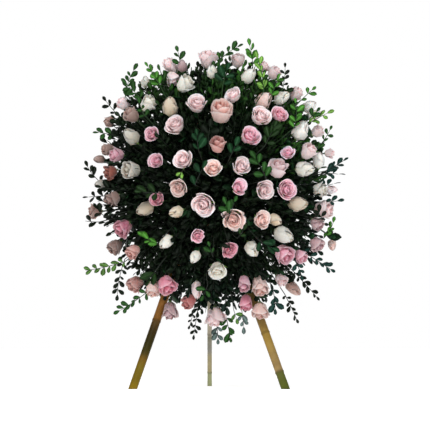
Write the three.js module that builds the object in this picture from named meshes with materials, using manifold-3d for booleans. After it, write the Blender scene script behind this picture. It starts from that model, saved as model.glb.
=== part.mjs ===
// Standing funeral spray: garden roses and small-leaved greenery in a block of floral foam,
// held in a tray against a tripod of bamboo canes. Millimetres, +Z up, the front faces -Y.
import * as THREE from 'three';
import Module from 'manifold-3d';
import { mergeVertices } from 'three/addons/utils/BufferGeometryUtils.js';

const wasm = await Module();
wasm.setup();

// Places given as x and height are read off the front view, on the plane y = 0, by an eye at
// this distance and height. onSight carries them along the line of sight to their real depth.
const VIEW_DISTANCE = 6500;
const VIEW_HEIGHT = 150;

// The clearance between neighbouring pieces
const GAP = 0.3;

// The domed head: the surface through the middles of the blooms
const HEAD = { x: 0, rimY: -45, z: 591, halfWidth: 378, halfHeight: 412, depth: 235 };

// The tripod. The front canes cross side by side, and the back cane stops behind them.
const FRONT_CANE_RADIUS = 12.4;
const BACK_CANE_RADIUS = 7;
const CANE_SIDES = 9;
const CROSSING = { x: -21, z: 642 };
const FRONT_FOOT_Y = -200;
const LEFT_FOOT_X = -246;
const RIGHT_FOOT_X = 211;
const LEFT_CROSSING_Y = -8;
const RIGHT_CROSSING_Y = 20;
const BACK_FOOT = { x: -16, y: 190 };
const BACK_CROSSING_Y = 58;
const FRONT_CANE_TOP = 705;
const BACK_CANE_TOP = 668;
const FOOT_BORE_DEPTH = 45;
const LEFT_NODES = [198, 455];
const RIGHT_NODES = [48, 162, 430];
const BACK_NODES = [42, 159, 320, 500];

// The lashing round the three canes
const LASHING = { x: -22, y: 26, z: 641, radiusX: 27, radiusY: 50, height: 34, turns: 2 };

// The foam block and its tray, which leans back with the left front cane
const FOAM = { width: 230, height: 230, depth: 80, z: 556 };
const TRAY_WALL = 3;
const TRAY_DEPTH = 36;
const TRAY_STANDOFF = 22;
const RIB = { width: 150, height: 22, heights: [-62, 52] };
const TIE = { radius: 18.4, wire: 1.7 };
const ROOT_DEPTH = 28;
const HEART_DEPTH = 24;
const RIM_CLEARANCE = 7;

// The stems
const ROSE_STEM_RADIUS = 2.6;
const BUNCH_STEM_RADIUS = 3.4;
const TWIG_RADIUS = 1.9;
const BRANCH_RADIUS = 2.8;
const ROOT_SIDES = 4;
const TWIG_SIDES = 3;
const JOINT_RADIUS = 6.5;
// Where a bunch may fork, as parts of the way from the foam to its tips
const FORKS = [0.42, 0.56, 0.7, 0.3, 0.18];

// The blooms, three forms. Each ring is [height, radius, scallop] in parts of the bloom's radius.
const FORMS = {
  open: {
    tilt: 22,
    bottom: -0.8,
    rings: [[0.06, 0.96, 0.07], [-0.02, 0.7, 0], [0.4, 0.62, -0.09], [0.26, 0.33, 0]],
    top: 0.56,
  },
  half: {
    tilt: 55,
    bottom: -0.95,
    rings: [[-0.68, 0.36, 0], [0.12, 0.95, 0.08], [0.04, 0.74, 0], [0.54, 0.64, -0.09], [0.42, 0.35, 0]],
    top: 0.74,
  },
  bud: {
    tilt: 66,
    bottom: -1.25,
    rings: [[-0.95, 0.45, 0], [-0.1, 0.94, 0.02], [0.72, 0.7, 0.08]],
    top: 1.12,
  },
};
const BLOOM_SIDES = 8;
const SMALL_BLOOM_SIDES = 6;
const SMALL_BLOOM_RADIUS = 29;

const COLOURS = {
  white: 0xf3ead8,
  cream: 0xf4dfb6,
  peach: 0xf2bd9c,
  blush: 0xf3ccca,
  pink: 0xe58fa4,
  deep: 0xcf4567,
  leaf: 0x33502a,
  foam: 0x2f6b3c,
  tray: 0x1f3a26,
  cane: 0xa9854a,
  twine: 0x8a6c3f,
  wire: 0x2b2f2b,
};

// The planting list: x, height, width across, form, the way it faces in the front view in
// degrees (0 right, 90 up, null straight out of the dome) and colour
const ROSES = [
  [-135, 966, 42, 'half', 135, 'blush'],
  [-99, 966, 32, 'bud', 90, 'blush'],
  [-90, 912, 54, 'half', 45, 'white'],
  [-210, 918, 30, 'bud', 90, 'white'],
  [-201, 852, 51, 'half', 45, 'white'],
  [-276, 852, 42, 'half', 135, 'blush'],
  [-252, 819, 48, 'half', 135, 'peach'],
  [-318, 798, 34, 'half', 215, 'blush'],
  [-135, 843, 51, 'bud', 90, 'cream'],
  [-54, 855, 66, 'open', 90, 'blush'],
  [18, 828, 72, 'half', 90, 'peach'],
  [54, 879, 54, 'open', 135, 'blush'],
  [-21, 987, 57, 'half', 90, 'blush'],
  [-9, 948, 36, 'bud', 90, 'white'],
  [69, 984, 45, 'half', 90, 'blush'],
  [102, 936, 45, 'bud', 45, 'white'],
  [-120, 789, 66, 'open', null, 'blush'],
  [147, 963, 34, 'half', 45, 'blush'],
  [180, 945, 42, 'half', 45, 'blush'],
  [246, 882, 42, 'half', 45, 'blush'],
  [201, 870, 45, 'bud', 30, 'white'],
  [147, 861, 51, 'bud', 45, 'peach'],
  [285, 843, 39, 'bud', 30, 'white'],
  [300, 816, 36, 'bud', 30, 'white'],
  [138, 816, 66, 'open', 45, 'blush'],
  [195, 819, 54, 'open', null, 'deep'],
  [-192, 759, 51, 'open', 150, 'pink'],
  [-252, 753, 48, 'bud', 135, 'white'],
  [-324, 714, 39, 'half', 180, 'blush'],
  [-297, 696, 45, 'half', 180, 'pink'],
  [-348, 684, 30, 'bud', 180, 'blush'],
  [-315, 645, 42, 'half', 200, 'peach'],
  [-252, 651, 57, 'half', 180, 'white'],
  [-177, 678, 51, 'open', 150, 'pink'],
  [-345, 609, 30, 'bud', 190, 'blush'],
  [-99, 684, 66, 'open', null, 'blush'],
  [-111, 597, 57, 'open', 220, 'peach'],
  [-6, 657, 60, 'open', null, 'peach'],
  [81, 663, 63, 'open', null, 'blush'],
  [72, 600, 54, 'open', null, 'pink'],
  [9, 729, 51, 'half', 90, 'peach'],
  [105, 756, 66, 'open', 45, 'pink'],
  [258, 771, 54, 'bud', 30, 'white'],
  [309, 768, 39, 'half', 30, 'blush'],
  [219, 705, 45, 'open', 90, 'deep'],
  [282, 708, 51, 'half', 45, 'blush'],
  [312, 681, 42, 'bud', 90, 'white'],
  [345, 702, 30, 'half', 0, 'blush'],
  [189, 657, 57, 'half', 45, 'blush'],
  [270, 654, 51, 'bud', 0, 'white'],
  [150, 591, 63, 'open', 330, 'blush'],
  [216, 594, 66, 'open', 0, 'pink'],
  [315, 591, 45, 'half', 0, 'white'],
  [351, 591, 30, 'bud', 0, 'blush'],
  [-309, 564, 48, 'half', 215, 'peach'],
  [-360, 528, 42, 'half', 180, 'peach'],
  [-174, 564, 48, 'open', 150, 'deep'],
  [-210, 534, 48, 'bud', 205, 'cream'],
  [-276, 477, 54, 'half', 225, 'pink'],
  [-300, 420, 48, 'half', 225, 'blush'],
  [-246, 405, 45, 'half', 225, 'peach'],
  [-147, 435, 42, 'bud', 225, 'white'],
  [-117, 525, 39, 'bud', 200, 'cream'],
  [-36, 546, 78, 'open', null, 'peach'],
  [-51, 453, 45, 'open', 315, 'deep'],
  [54, 501, 75, 'open', 270, 'blush'],
  [45, 411, 54, 'open', 315, 'deep'],
  [-60, 390, 36, 'bud', 240, 'white'],
  [249, 549, 51, 'bud', 0, 'cream'],
  [141, 501, 60, 'open', 0, 'peach'],
  [180, 501, 39, 'bud', 330, 'cream'],
  [207, 456, 54, 'bud', 330, 'white'],
  [327, 531, 60, 'half', 0, 'blush'],
  [306, 489, 42, 'half', 315, 'pink'],
  [111, 414, 45, 'bud', 300, 'white'],
  [207, 399, 60, 'half', 315, 'pink'],
  [258, 393, 42, 'half', 315, 'pink'],
  [306, 429, 45, 'half', 315, 'blush'],
  [351, 426, 30, 'bud', 270, 'peach'],
  [-240, 309, 51, 'half', 225, 'peach'],
  [-186, 294, 51, 'half', 270, 'blush'],
  [-144, 306, 57, 'half', 300, 'pink'],
  [-135, 228, 48, 'half', 270, 'blush'],
  [9, 348, 63, 'open', 270, 'cream'],
  [-54, 291, 39, 'bud', 270, 'white'],
  [-78, 255, 42, 'half', 225, 'deep'],
  [0, 210, 60, 'half', 270, 'blush'],
  [87, 309, 39, 'half', 270, 'pink'],
  [93, 252, 42, 'half', 270, 'deep'],
  [135, 303, 54, 'half', 280, 'peach'],
  [135, 228, 51, 'half', 270, 'peach'],
  [198, 321, 36, 'half', 315, 'blush'],
  [234, 297, 39, 'bud', 315, 'peach'],
];

// The bunches: rings of sectors round the head's middle. Each holds the blooms between its
// ring's edges, as parts of the way from the middle to the rim.
const BUNCH_RINGS = [
  { name: 'inner', from: 0, to: 0.36, sectors: 3, turn: 90 },
  { name: 'middle', from: 0.36, to: 0.66, sectors: 8, turn: 20 },
  { name: 'outer', from: 0.66, to: 1.2, sectors: 15, turn: 12 },
];

// The leafy branches: each branch's tips as x, height and depth y
const BRANCHES = [
  { name: 'top_left', tips: [[-201, 972, -20], [-252, 930, -10]] },
  { name: 'top_middle_left', tips: [[-111, 1027, 0], [-60, 1000, 30]] },
  { name: 'top_middle', tips: [[42, 1020, -10], [0, 1010, 20]] },
  { name: 'top_middle_right', tips: [[111, 1026, -30], [140, 1000, 20]] },
  { name: 'top_right', tips: [[210, 966, -20], [297, 894, -10]] },
  { name: 'left_high', tips: [[-333, 849, -20], [-360, 768, 0]] },
  { name: 'left_middle', tips: [[-380, 627, -40], [-386, 560, 0]] },
  { name: 'left_low', tips: [[-390, 498, -20], [-389, 363, -40], [-320, 430, 0]] },
  { name: 'right_high', tips: [[348, 765, -30], [384, 669, -20]] },
  { name: 'right_middle', tips: [[368, 561, -20], [374, 465, -10]] },
  { name: 'right_low', tips: [[355, 387, -30], [314, 303, -20], [290, 420, 0]] },
  { name: 'bottom_right', tips: [[240, 201, -30], [190, 235, 10], [130, 290, 10]] },
  { name: 'bottom_middle', tips: [[90, 180, -60], [39, 159, -40]] },
  { name: 'bottom_left', tips: [[-66, 160, -50], [-180, 210, -30], [-60, 275, 5]] },
  { name: 'low_left', tips: [[-284, 222, -30], [-300, 279, -60]] },
  { name: 'front_upper', tips: [[-54, 762, -250], [52, 765, -262]] },
  { name: 'front_right', tips: [[150, 708, -240], [246, 500, -180]] },
  { name: 'front_left', tips: [[-195, 440, -215], [-225, 600, -215]] },
  { name: 'front_lower', tips: [[-105, 348, -205], [72, 366, -215]] },
  { name: 'back_left', tips: [[-230, 780, 70], [-290, 560, 70], [-190, 670, 50]] },
  { name: 'back_right', tips: [[230, 780, 70], [290, 560, 70], [190, 670, 50]] },
  { name: 'back_top', tips: [[-60, 900, 70], [90, 900, 70]] },
  { name: 'back_low', tips: [[-190, 380, 60], [190, 380, 60], [-88, 428, 66], [88, 428, 66]] },
];
const LEAF_LENGTH = 50;
const LEAF_WIDTH = 0.52;
const LEAF_THICKNESS = 2.4;
const LEAF_SPACING = 45;
const LEAF_START = 0.3;
const LEAF_SEED = 20;

// Points and directions

function onSight(x, z, y) {
  const scale = (VIEW_DISTANCE + y) / VIEW_DISTANCE;
  return new THREE.Vector3(x * scale, y, VIEW_HEIGHT + (z - VIEW_HEIGHT) * scale);
}

function along(a, b, part) {
  return a.clone().lerp(b, part);
}

// The shortest way between two straight stretches
function apart(a, b, c, d) {
  const u = b.clone().sub(a);
  const v = d.clone().sub(c);
  const w = a.clone().sub(c);
  const uu = u.dot(u);
  const vv = v.dot(v);
  const uv = u.dot(v);
  const uw = u.dot(w);
  const vw = v.dot(w);
  const det = uu * vv - uv * uv;
  let s = 0;
  if (det > 1e-6) {
    s = THREE.MathUtils.clamp((uv * vw - vv * uw) / det, 0, 1);
  }
  let t = vv > 1e-6 ? (uv * s + vw) / vv : 0;
  t = THREE.MathUtils.clamp(t, 0, 1);
  if (uu > 1e-6) {
    s = THREE.MathUtils.clamp((uv * t - uw) / uu, 0, 1);
  }
  return a.clone().addScaledVector(u, s).distanceTo(c.clone().addScaledVector(v, t));
}

// A repeatable draw between 0 and 1
function drawFrom(seed) {
  let state = seed;
  return () => {
    state = (state * 1664525 + 1013904223) % 4294967296;
    return state / 4294967296;
  };
}

// Solids

function solidOf(geometry) {
  const bare = geometry.clone();
  bare.deleteAttribute('normal');
  bare.deleteAttribute('uv');
  const welded = mergeVertices(bare, 1e-4);
  const corners = welded.getIndex().array;
  const kept = [];
  for (let i = 0; i < corners.length; i += 3) {
    const [a, b, c] = [corners[i], corners[i + 1], corners[i + 2]];
    if (a !== b && b !== c && c !== a) {
      kept.push(a, b, c);
    }
  }
  return new wasm.Manifold(new wasm.Mesh({
    numProp: 3,
    vertProperties: new Float32Array(welded.getAttribute('position').array),
    triVerts: new Uint32Array(kept),
  }));
}

// The one body, without loose scraps or sealed hollows
function largest(solid) {
  return solid.decompose().reduce((best, next) => (next.volume() > best.volume() ? next : best));
}

function fuse(geometries) {
  return largest(geometries.map(solidOf).reduce((whole, next) => whole.add(next)));
}

function meshOf(name, solid, colour, roughness) {
  const made = solid.getMesh();
  const geometry = new THREE.BufferGeometry();
  geometry.setAttribute('position', new THREE.BufferAttribute(new Float32Array(made.vertProperties), 3));
  geometry.setIndex(new THREE.BufferAttribute(new Uint32Array(made.triVerts), 1));
  geometry.computeVertexNormals();
  const mesh = new THREE.Mesh(geometry, new THREE.MeshStandardMaterial({ color: colour, roughness }));
  mesh.name = name;
  return mesh;
}

// The faces between two rings, of equal count or the upper with twice the points
function faceBand(low, lowSides, high, highSides) {
  const faces = [];
  for (let i = 0; i < lowSides; i += 1) {
    const next = (i + 1) % lowSides;
    if (lowSides === highSides) {
      faces.push(low + i, low + next, high + next, low + i, high + next, high + i);
    } else {
      const [start, middle, end] = [2 * i, 2 * i + 1, (2 * i + 2) % highSides];
      faces.push(low + i, low + next, high + middle, low + i, high + middle, high + start);
      faces.push(low + next, high + end, high + middle);
    }
  }
  return faces;
}

// A closed skin over rings. Each end closes on a point, or flat without one.
function skinOver(rings, bottom = null, top = null) {
  const points = rings.flat();
  const faces = [];
  let low = 0;
  for (let k = 0; k + 1 < rings.length; k += 1) {
    const high = low + rings[k].length;
    faces.push(...faceBand(low, rings[k].length, high, rings[k + 1].length));
    low = high;
  }
  const bottomSides = rings[0].length;
  for (let i = 0; i < bottomSides; i += 1) {
    const next = (i + 1) % bottomSides;
    if (bottom) {
      faces.push(points.length, next, i);
    } else if (i > 0 && i < bottomSides - 1) {
      faces.push(0, next, i);
    }
  }
  const topSides = rings[rings.length - 1].length;
  for (let i = 0; i < topSides; i += 1) {
    const next = (i + 1) % topSides;
    if (top) {
      faces.push(points.length + (bottom ? 1 : 0), low + i, low + next);
    } else if (i > 0 && i < topSides - 1) {
      faces.push(low, low + i, low + next);
    }
  }
  const geometry = new THREE.BufferGeometry();
  const flat = [...points, bottom, top].filter(Boolean).flatMap((p) => [p.x, p.y, p.z]);
  geometry.setAttribute('position', new THREE.Float32BufferAttribute(flat, 3));
  geometry.setIndex(faces);
  return geometry;
}

function ringAt(point, way, across, radius, sides) {
  const up = way.clone().cross(across);
  const ring = [];
  for (let i = 0; i < sides; i += 1) {
    const angle = (i * 2 * Math.PI) / sides;
    ring.push(point.clone()
      .addScaledVector(across, radius * Math.cos(angle))
      .addScaledVector(up, radius * Math.sin(angle)));
  }
  return ring;
}

// Rings along a stem, from its top down, each turned on from the one above
function stemRings(points, radius, sides, topWay, topAcross) {
  const across = topAcross.clone();
  const rings = [];
  for (let k = points.length - 1; k >= 0; k -= 1) {
    const up = k + 1 < points.length ? points[k + 1].clone().sub(points[k]).normalize() : topWay;
    const down = k > 0 ? points[k].clone().sub(points[k - 1]).normalize() : up;
    const way = up.clone().add(down).normalize();
    across.addScaledVector(way, -across.dot(way)).normalize();
    rings.unshift(ringAt(points[k], way, across, radius, sides));
  }
  return rings;
}

function stemThrough(points, radius, sides) {
  const [before, last] = points.slice(-2);
  const way = last.clone().sub(before).normalize();
  return skinOver(stemRings(points, radius, sides, way, new THREE.Vector3(0.31, 0.17, 0.93)));
}

// The canes

function caneRoute(foot, footY, crossingX, crossingY, top) {
  const low = onSight(foot, 0, footY);
  low.z = 0;
  const high = onSight(crossingX, CROSSING.z, crossingY);
  const way = high.clone().sub(low);
  way.multiplyScalar(1 / way.z);
  return { low, way, at: (z) => low.clone().addScaledVector(way, z), top };
}

const canes = {
  leg_front_left: {
    route: caneRoute(LEFT_FOOT_X, FRONT_FOOT_Y, CROSSING.x, LEFT_CROSSING_Y, FRONT_CANE_TOP),
    radius: FRONT_CANE_RADIUS,
    nodes: LEFT_NODES,
  },
  leg_front_right: {
    route: caneRoute(RIGHT_FOOT_X, FRONT_FOOT_Y, CROSSING.x, RIGHT_CROSSING_Y, FRONT_CANE_TOP),
    radius: FRONT_CANE_RADIUS,
    nodes: RIGHT_NODES,
  },
  leg_back: {
    route: caneRoute(BACK_FOOT.x, BACK_FOOT.y, BACK_FOOT.x, BACK_CROSSING_Y, BACK_CANE_TOP),
    radius: BACK_CANE_RADIUS,
    nodes: BACK_NODES,
  },
};

// A cane stands on its horizontally cut foot, which shows the hollow up to the first wall.
// Each joint is a low ring with a groove under it.
function caneSolid({ route, radius, nodes }, grow = 0) {
  const steepness = route.way.length();
  const spare = radius * 2;
  const bore = radius * 0.62;
  const outer = radius + grow;
  const profile = [[0, -spare], [outer, -spare]];
  if (grow === 0) {
    profile[0] = [0, FOOT_BORE_DEPTH * steepness];
    profile.unshift();
    profile.splice(1, 0, [bore, FOOT_BORE_DEPTH * steepness], [bore, -spare]);
  }
  for (const node of nodes) {
    const height = node * steepness;
    profile.push([outer, height - 5], [outer + radius * 0.1, height], [outer, height + 4]);
  }
  profile.push([outer, route.top * steepness], [0, route.top * steepness]);
  const lathe = new THREE.LatheGeometry(profile.map(([r, h]) => new THREE.Vector2(r, h)), CANE_SIDES);
  const turn = new THREE.Quaternion().setFromUnitVectors(
    new THREE.Vector3(0, 1, 0),
    route.way.clone().normalize(),
  );
  lathe.applyMatrix4(new THREE.Matrix4().compose(route.low, turn, new THREE.Vector3(1, 1, 1)));
  const ground = new THREE.BoxGeometry(400, 400, 100).translate(route.low.x, route.low.y, -50);
  return solidOf(lathe).subtract(solidOf(ground));
}

function grownCanes() {
  return Object.values(canes).map((cane) => caneSolid(cane, GAP));
}

function lashingSolid() {
  const { x, y, z, radiusX, radiusY, height, turns } = LASHING;
  const rings = [];
  for (let i = 0; i <= turns * 2; i += 1) {
    const bulge = i % 2 === 1 ? 1 : 0.9;
    rings.push([bulge, -height / 2 + (height * i) / (turns * 2)]);
  }
  const profile = [[0, -height / 2], ...rings, [0, height / 2]];
  const coil = new THREE.LatheGeometry(profile.map(([r, h]) => new THREE.Vector2(r, h)), CANE_SIDES);
  coil.rotateX(Math.PI / 2).scale(radiusX, radiusY, 1).translate(x, y, z);
  return largest(grownCanes().reduce((whole, cane) => whole.subtract(cane), solidOf(coil)));
}

// The holder's own frame: x across, y back, z up its face, with its back on y = 0
const lean = Math.atan(canes.leg_front_left.route.way.y);
const trayBack = canes.leg_front_left.route.at(FOAM.z);
const backY = trayBack.y - FRONT_CANE_RADIUS / Math.cos(lean) - TRAY_STANDOFF;
const holderFrame = new THREE.Matrix4().makeRotationX(-lean);
holderFrame.setPosition(0, backY, FOAM.z);
const holderFrameBack = holderFrame.clone().invert();

// A box in the holder's frame, set by its middle
function holderBox(width, depth, height, y, z = 0) {
  return new THREE.BoxGeometry(width, depth, height).translate(0, y, z);
}

const foamBox = new THREE.Box3(
  new THREE.Vector3(-FOAM.width / 2, -TRAY_WALL - GAP - FOAM.depth, -FOAM.height / 2),
  new THREE.Vector3(FOAM.width / 2, -TRAY_WALL - GAP, FOAM.height / 2),
);

function tieRing(cane, ribHeight, grow) {
  const ribMiddle = new THREE.Vector3(0, 0, ribHeight).applyMatrix4(holderFrame);
  const turn = new THREE.Quaternion().setFromUnitVectors(
    new THREE.Vector3(0, 0, 1),
    cane.route.way.clone().normalize(),
  );
  const ring = new THREE.TorusGeometry(TIE.radius, TIE.wire + grow, 4, 12);
  const place = new THREE.Matrix4().compose(cane.route.at(ribMiddle.z), turn, new THREE.Vector3(1, 1, 1));
  return solidOf(ring.applyMatrix4(place));
}

const TIES = [
  { name: 'tie_left', cane: canes.leg_front_left, height: RIB.heights[0] },
  { name: 'tie_right', cane: canes.leg_front_right, height: RIB.heights[0] },
];

function traySolid() {
  const outer = FOAM.width + 2 * (TRAY_WALL + GAP);
  const pocket = FOAM.width + 2 * GAP;
  const shell = solidOf(holderBox(outer, TRAY_DEPTH, outer, -TRAY_DEPTH / 2))
    .subtract(solidOf(holderBox(pocket, TRAY_DEPTH, pocket, -TRAY_DEPTH / 2 - TRAY_WALL)));
  const reach = TRAY_STANDOFF + FRONT_CANE_RADIUS * 1.6;
  const ribs = RIB.heights.map((z) => solidOf(holderBox(RIB.width, reach, RIB.height, reach / 2 - 1, z)));
  let tray = ribs.reduce((whole, rib) => whole.add(rib), shell);
  tray = tray.transform(holderFrame.elements);
  for (const cane of grownCanes()) {
    tray = tray.subtract(cane);
  }
  for (const tie of TIES) {
    tray = tray.subtract(tieRing(tie.cane, tie.height, GAP));
  }
  return largest(tray);
}

// The blooms' places. Where two would meet, one comes forward and the other goes back along
// the line of sight, until they are clear.

function roseReach(rose) {
  return rose.radius * (rose.form === 'bud' ? 1.08 : 1.0) + 1;
}

// A bloom in a cane's way comes forward
function clearOfCanes(rose) {
  const middle = onSight(rose.x, rose.z, rose.y);
  for (const { route, radius } of Object.values(canes)) {
    const short = roseReach(rose) + radius * 1.2 - apart(middle, middle, route.at(0), route.at(route.top));
    if (short > 0) {
      rose.y -= short;
    }
  }
}

function setRoses() {
  const roses = ROSES.map(([x, z, across, form, faces, colour], index) => {
    const u = (x - HEAD.x) / HEAD.halfWidth;
    const v = (z - HEAD.z) / HEAD.halfHeight;
    const out = Math.sqrt(Math.max(0, 1 - u * u - v * v));
    const spread = Math.hypot(u, v);
    const bearing = THREE.MathUtils.euclideanModulo(THREE.MathUtils.radToDeg(Math.atan2(v, u)), 360);
    const y = HEAD.rimY - HEAD.depth * out;
    const facing = faces === null ? bearing : faces;
    return { index, x, z, y, form, colour, spread, bearing, facing, radius: across / 2 };
  });
  for (let round = 0; round < 80; round += 1) {
    for (let i = 0; i < roses.length; i += 1) {
      for (let k = i + 1; k < roses.length; k += 1) {
        const [a, b] = [roses[i], roses[k]];
        const need = roseReach(a) + roseReach(b);
        const flat = Math.hypot(a.x - b.x, a.z - b.z);
        if (flat < need) {
          const short = Math.sqrt(need * need - flat * flat) - Math.abs(a.y - b.y);
          if (short > 0) {
            const step = (a.y <= b.y ? -short : short) / 2;
            a.y += step;
            b.y -= step;
          }
        }
      }
    }
    roses.forEach(clearOfCanes);
  }
  for (const rose of roses) {
    const scale = (VIEW_DISTANCE + rose.y) / VIEW_DISTANCE;
    const tilt = THREE.MathUtils.degToRad(FORMS[rose.form].tilt);
    const facing = THREE.MathUtils.degToRad(rose.facing);
    rose.middle = onSight(rose.x, rose.z, rose.y);
    rose.radius *= scale;
    rose.axis = new THREE.Vector3(
      Math.sin(tilt) * Math.cos(facing),
      -Math.cos(tilt),
      Math.sin(tilt) * Math.sin(facing),
    );
  }
  return roses;
}

const roses = setRoses();

function bloomBase(rose) {
  return rose.middle.clone().addScaledVector(rose.axis, FORMS[rose.form].bottom * rose.radius);
}

// A bloom on its stem: a cup of outer petals, a ring of inner petals set between them, and the bud
function bloomGeometry(rose, stem) {
  const { rings, top } = FORMS[rose.form];
  const turn = new THREE.Quaternion().setFromUnitVectors(new THREE.Vector3(0, 0, 1), rose.axis);
  const across = new THREE.Vector3(1, 0, 0).applyQuaternion(turn);
  const sides = rose.radius < SMALL_BLOOM_RADIUS ? SMALL_BLOOM_SIDES : BLOOM_SIDES;
  const place = (x, y, z) => new THREE.Vector3(x, y, z)
    .multiplyScalar(rose.radius)
    .applyQuaternion(turn)
    .add(rose.middle);
  const petals = rings.map(([height, radius, scallop]) => {
    const ring = [];
    for (let i = 0; i < sides; i += 1) {
      const angle = (i * 2 * Math.PI) / sides;
      const wave = i % 2 === 0 ? scallop : -scallop;
      const r = radius + wave;
      ring.push(place(r * Math.cos(angle), r * Math.sin(angle), height + wave * 0.6));
    }
    return ring;
  });
  const stalk = stemRings(stem, ROSE_STEM_RADIUS, sides / 2, rose.axis, across);
  return skinOver([...stalk, ...petals], null, place(0, 0, top));
}

// What stems and leaves keep clear of
const obstacles = [];

function block(owner, a, b, radius) {
  obstacles.push({ owner, a, b, radius });
}

function isFree(owner, a, b, radius, except = null) {
  return obstacles.every((o) => o.owner === owner || o.owner === except
    || apart(a, b, o.a, o.b) > radius + o.radius + GAP);
}

for (const cane of Object.values(canes)) {
  block('stand', cane.route.at(0), cane.route.at(cane.route.top), cane.radius * 1.15);
}
block('stand', new THREE.Vector3(LASHING.x, LASHING.y, LASHING.z), new THREE.Vector3(LASHING.x, LASHING.y,
  LASHING.z + 1), LASHING.radiusY);
const trayHalf = FOAM.width / 2 + GAP + TRAY_WALL / 2;
for (let depth = 4; depth < TRAY_DEPTH; depth += 10) {
  const corners = [[-1, -1], [1, -1], [1, 1], [-1, 1]].map(([x, z]) => (
    new THREE.Vector3(x * trayHalf, -TRAY_DEPTH + depth, z * trayHalf).applyMatrix4(holderFrame)));
  corners.forEach((corner, i) => block('stand', corner, corners[(i + 1) % 4], 4.5));
}
for (const height of RIB.heights) {
  const ends = [-RIB.width / 2, RIB.width / 2].map((x) => (
    new THREE.Vector3(x, TRAY_STANDOFF, height).applyMatrix4(holderFrame)));
  block('stand', ends[0], ends[1], TRAY_STANDOFF);
}
for (const rose of roses) {
  const half = rose.form === 'bud' ? rose.radius * 0.35 : 0;
  block(`rose ${rose.index}`, rose.middle.clone().addScaledVector(rose.axis, -half),
    rose.middle.clone().addScaledVector(rose.axis, half), rose.radius * 1.04);
}

// A root: it leaves the block in front of the tray's rim, on the line from the foam's heart
const heart = new THREE.Vector3(0, foamBox.min.y + HEART_DEPTH, 0).applyMatrix4(holderFrame);

function rootToward(target) {
  const start = heart.clone().applyMatrix4(holderFrameBack);
  const way = target.clone().applyMatrix4(holderFrameBack).sub(start);
  const toSide = Math.min(foamBox.max.x / Math.abs(way.x), foamBox.max.z / Math.abs(way.z));
  way.y = Math.min(way.y, (-TRAY_DEPTH - RIM_CLEARANCE - start.y) / toSide);
  way.normalize();
  const far = start.clone().addScaledVector(way, 1000);
  const mouth = new THREE.Ray(far, way.clone().negate()).intersectBox(foamBox, new THREE.Vector3());
  const depth = Math.min(ROOT_DEPTH, mouth.distanceTo(start) - 2);
  return {
    end: mouth.clone().addScaledVector(way, -depth).applyMatrix4(holderFrame),
    mouth: mouth.clone().addScaledVector(way, 4).applyMatrix4(holderFrame),
  };
}

// The golden-angle spiral of shifts that a bunch's fork tries until its stems run clear
function spiralShift(target, k, step) {
  const way = target.clone().sub(heart).normalize();
  const across = new THREE.Vector3(0, 0, 1).cross(way).normalize();
  const up = way.clone().cross(across);
  const angle = k * 2.39996;
  const reach = step * Math.sqrt(k);
  return across.multiplyScalar(reach * Math.cos(angle)).addScaledVector(up, reach * Math.sin(angle));
}

// The bend that takes a stem from the fork to its tip past what lies between, nearly straight
// where it can be
function bendTo(owner, knot, tip, radius, except) {
  const way = tip.clone().sub(knot).normalize();
  const across = new THREE.Vector3(0.3, 0.2, 1).cross(way).normalize();
  const up = way.clone().cross(across);
  for (let k = 0; k < 90; k += 1) {
    const angle = k * 2.39996;
    const bend = along(knot, tip, 0.4 + (k % 3) * 0.15)
      .addScaledVector(across, 6 * Math.sqrt(k) * Math.cos(angle))
      .addScaledVector(up, 6 * Math.sqrt(k) * Math.sin(angle));
    if (isFree(owner, knot, bend, radius, except) && isFree(owner, bend, tip, radius, except)) {
      return bend;
    }
  }
  return null;
}

// Stems: one root, one fork and one stem to each tip
function routeStems(owner, tips, stemRadius, tipRadius, own) {
  const middle = tips.reduce((sum, tip) => sum.add(tip), new THREE.Vector3()).divideScalar(tips.length);
  for (let k = 0; k < 300; k += 1) {
    const aim = middle.clone().add(spiralShift(middle, k, 8));
    const root = rootToward(aim);
    for (const fork of FORKS) {
      const knot = along(root.mouth, aim, fork);
      if (isFree(owner, root.end, root.mouth, stemRadius) && isFree(owner, root.mouth, knot, stemRadius)) {
        const bends = [];
        for (let i = 0; i < tips.length && bends.length === i; i += 1) {
          const bend = bendTo(owner, knot, tips[i], tipRadius, own(i));
          if (bend) {
            bends.push(bend);
          }
        }
        if (bends.length === tips.length) {
          block(owner, root.end, root.mouth, stemRadius);
          block(owner, root.mouth, knot, stemRadius);
          tips.forEach((tip, i) => {
            block(owner, knot, bends[i], tipRadius);
            block(owner, bends[i], tip, tipRadius);
          });
          return { root, knot, bends, tips };
        }
      }
    }
  }
  throw new Error(`no clear way for ${owner}`);
}

// The points of a stem from the fork to its tip, through its bend where it has one
function stemPoints(knot, bend, tip) {
  const straight = along(knot, tip, bend.distanceTo(knot) / tip.distanceTo(knot));
  return bend.distanceTo(straight) < 0.5 ? [knot, tip] : [knot, bend, tip];
}

// The taped joint where a bunch's stems meet
function jointGeometry(root, knot) {
  const way = knot.clone().sub(root).normalize();
  const across = new THREE.Vector3(0, 0, 1).cross(way).normalize();
  const low = knot.clone().addScaledVector(way, -JOINT_RADIUS * 2.4);
  const high = knot.clone().addScaledVector(way, JOINT_RADIUS * 1.3);
  return skinOver([ringAt(knot, way, across, JOINT_RADIUS, 5)], low, high);
}

// The rose bunches

function bunchRoses() {
  const bunches = [];
  for (const { name, from, to, sectors, turn } of BUNCH_RINGS) {
    for (let s = 0; s < sectors; s += 1) {
      const members = roses.filter((rose) => {
        const sector = THREE.MathUtils.euclideanModulo(rose.bearing - turn, 360) / (360 / sectors);
        return rose.spread >= from && rose.spread < to && Math.floor(sector) === s;
      });
      if (members.length > 0) {
        bunches.push({ name: `roses_${name}_${s + 1}`, members });
      }
    }
  }
  return bunches;
}

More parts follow.
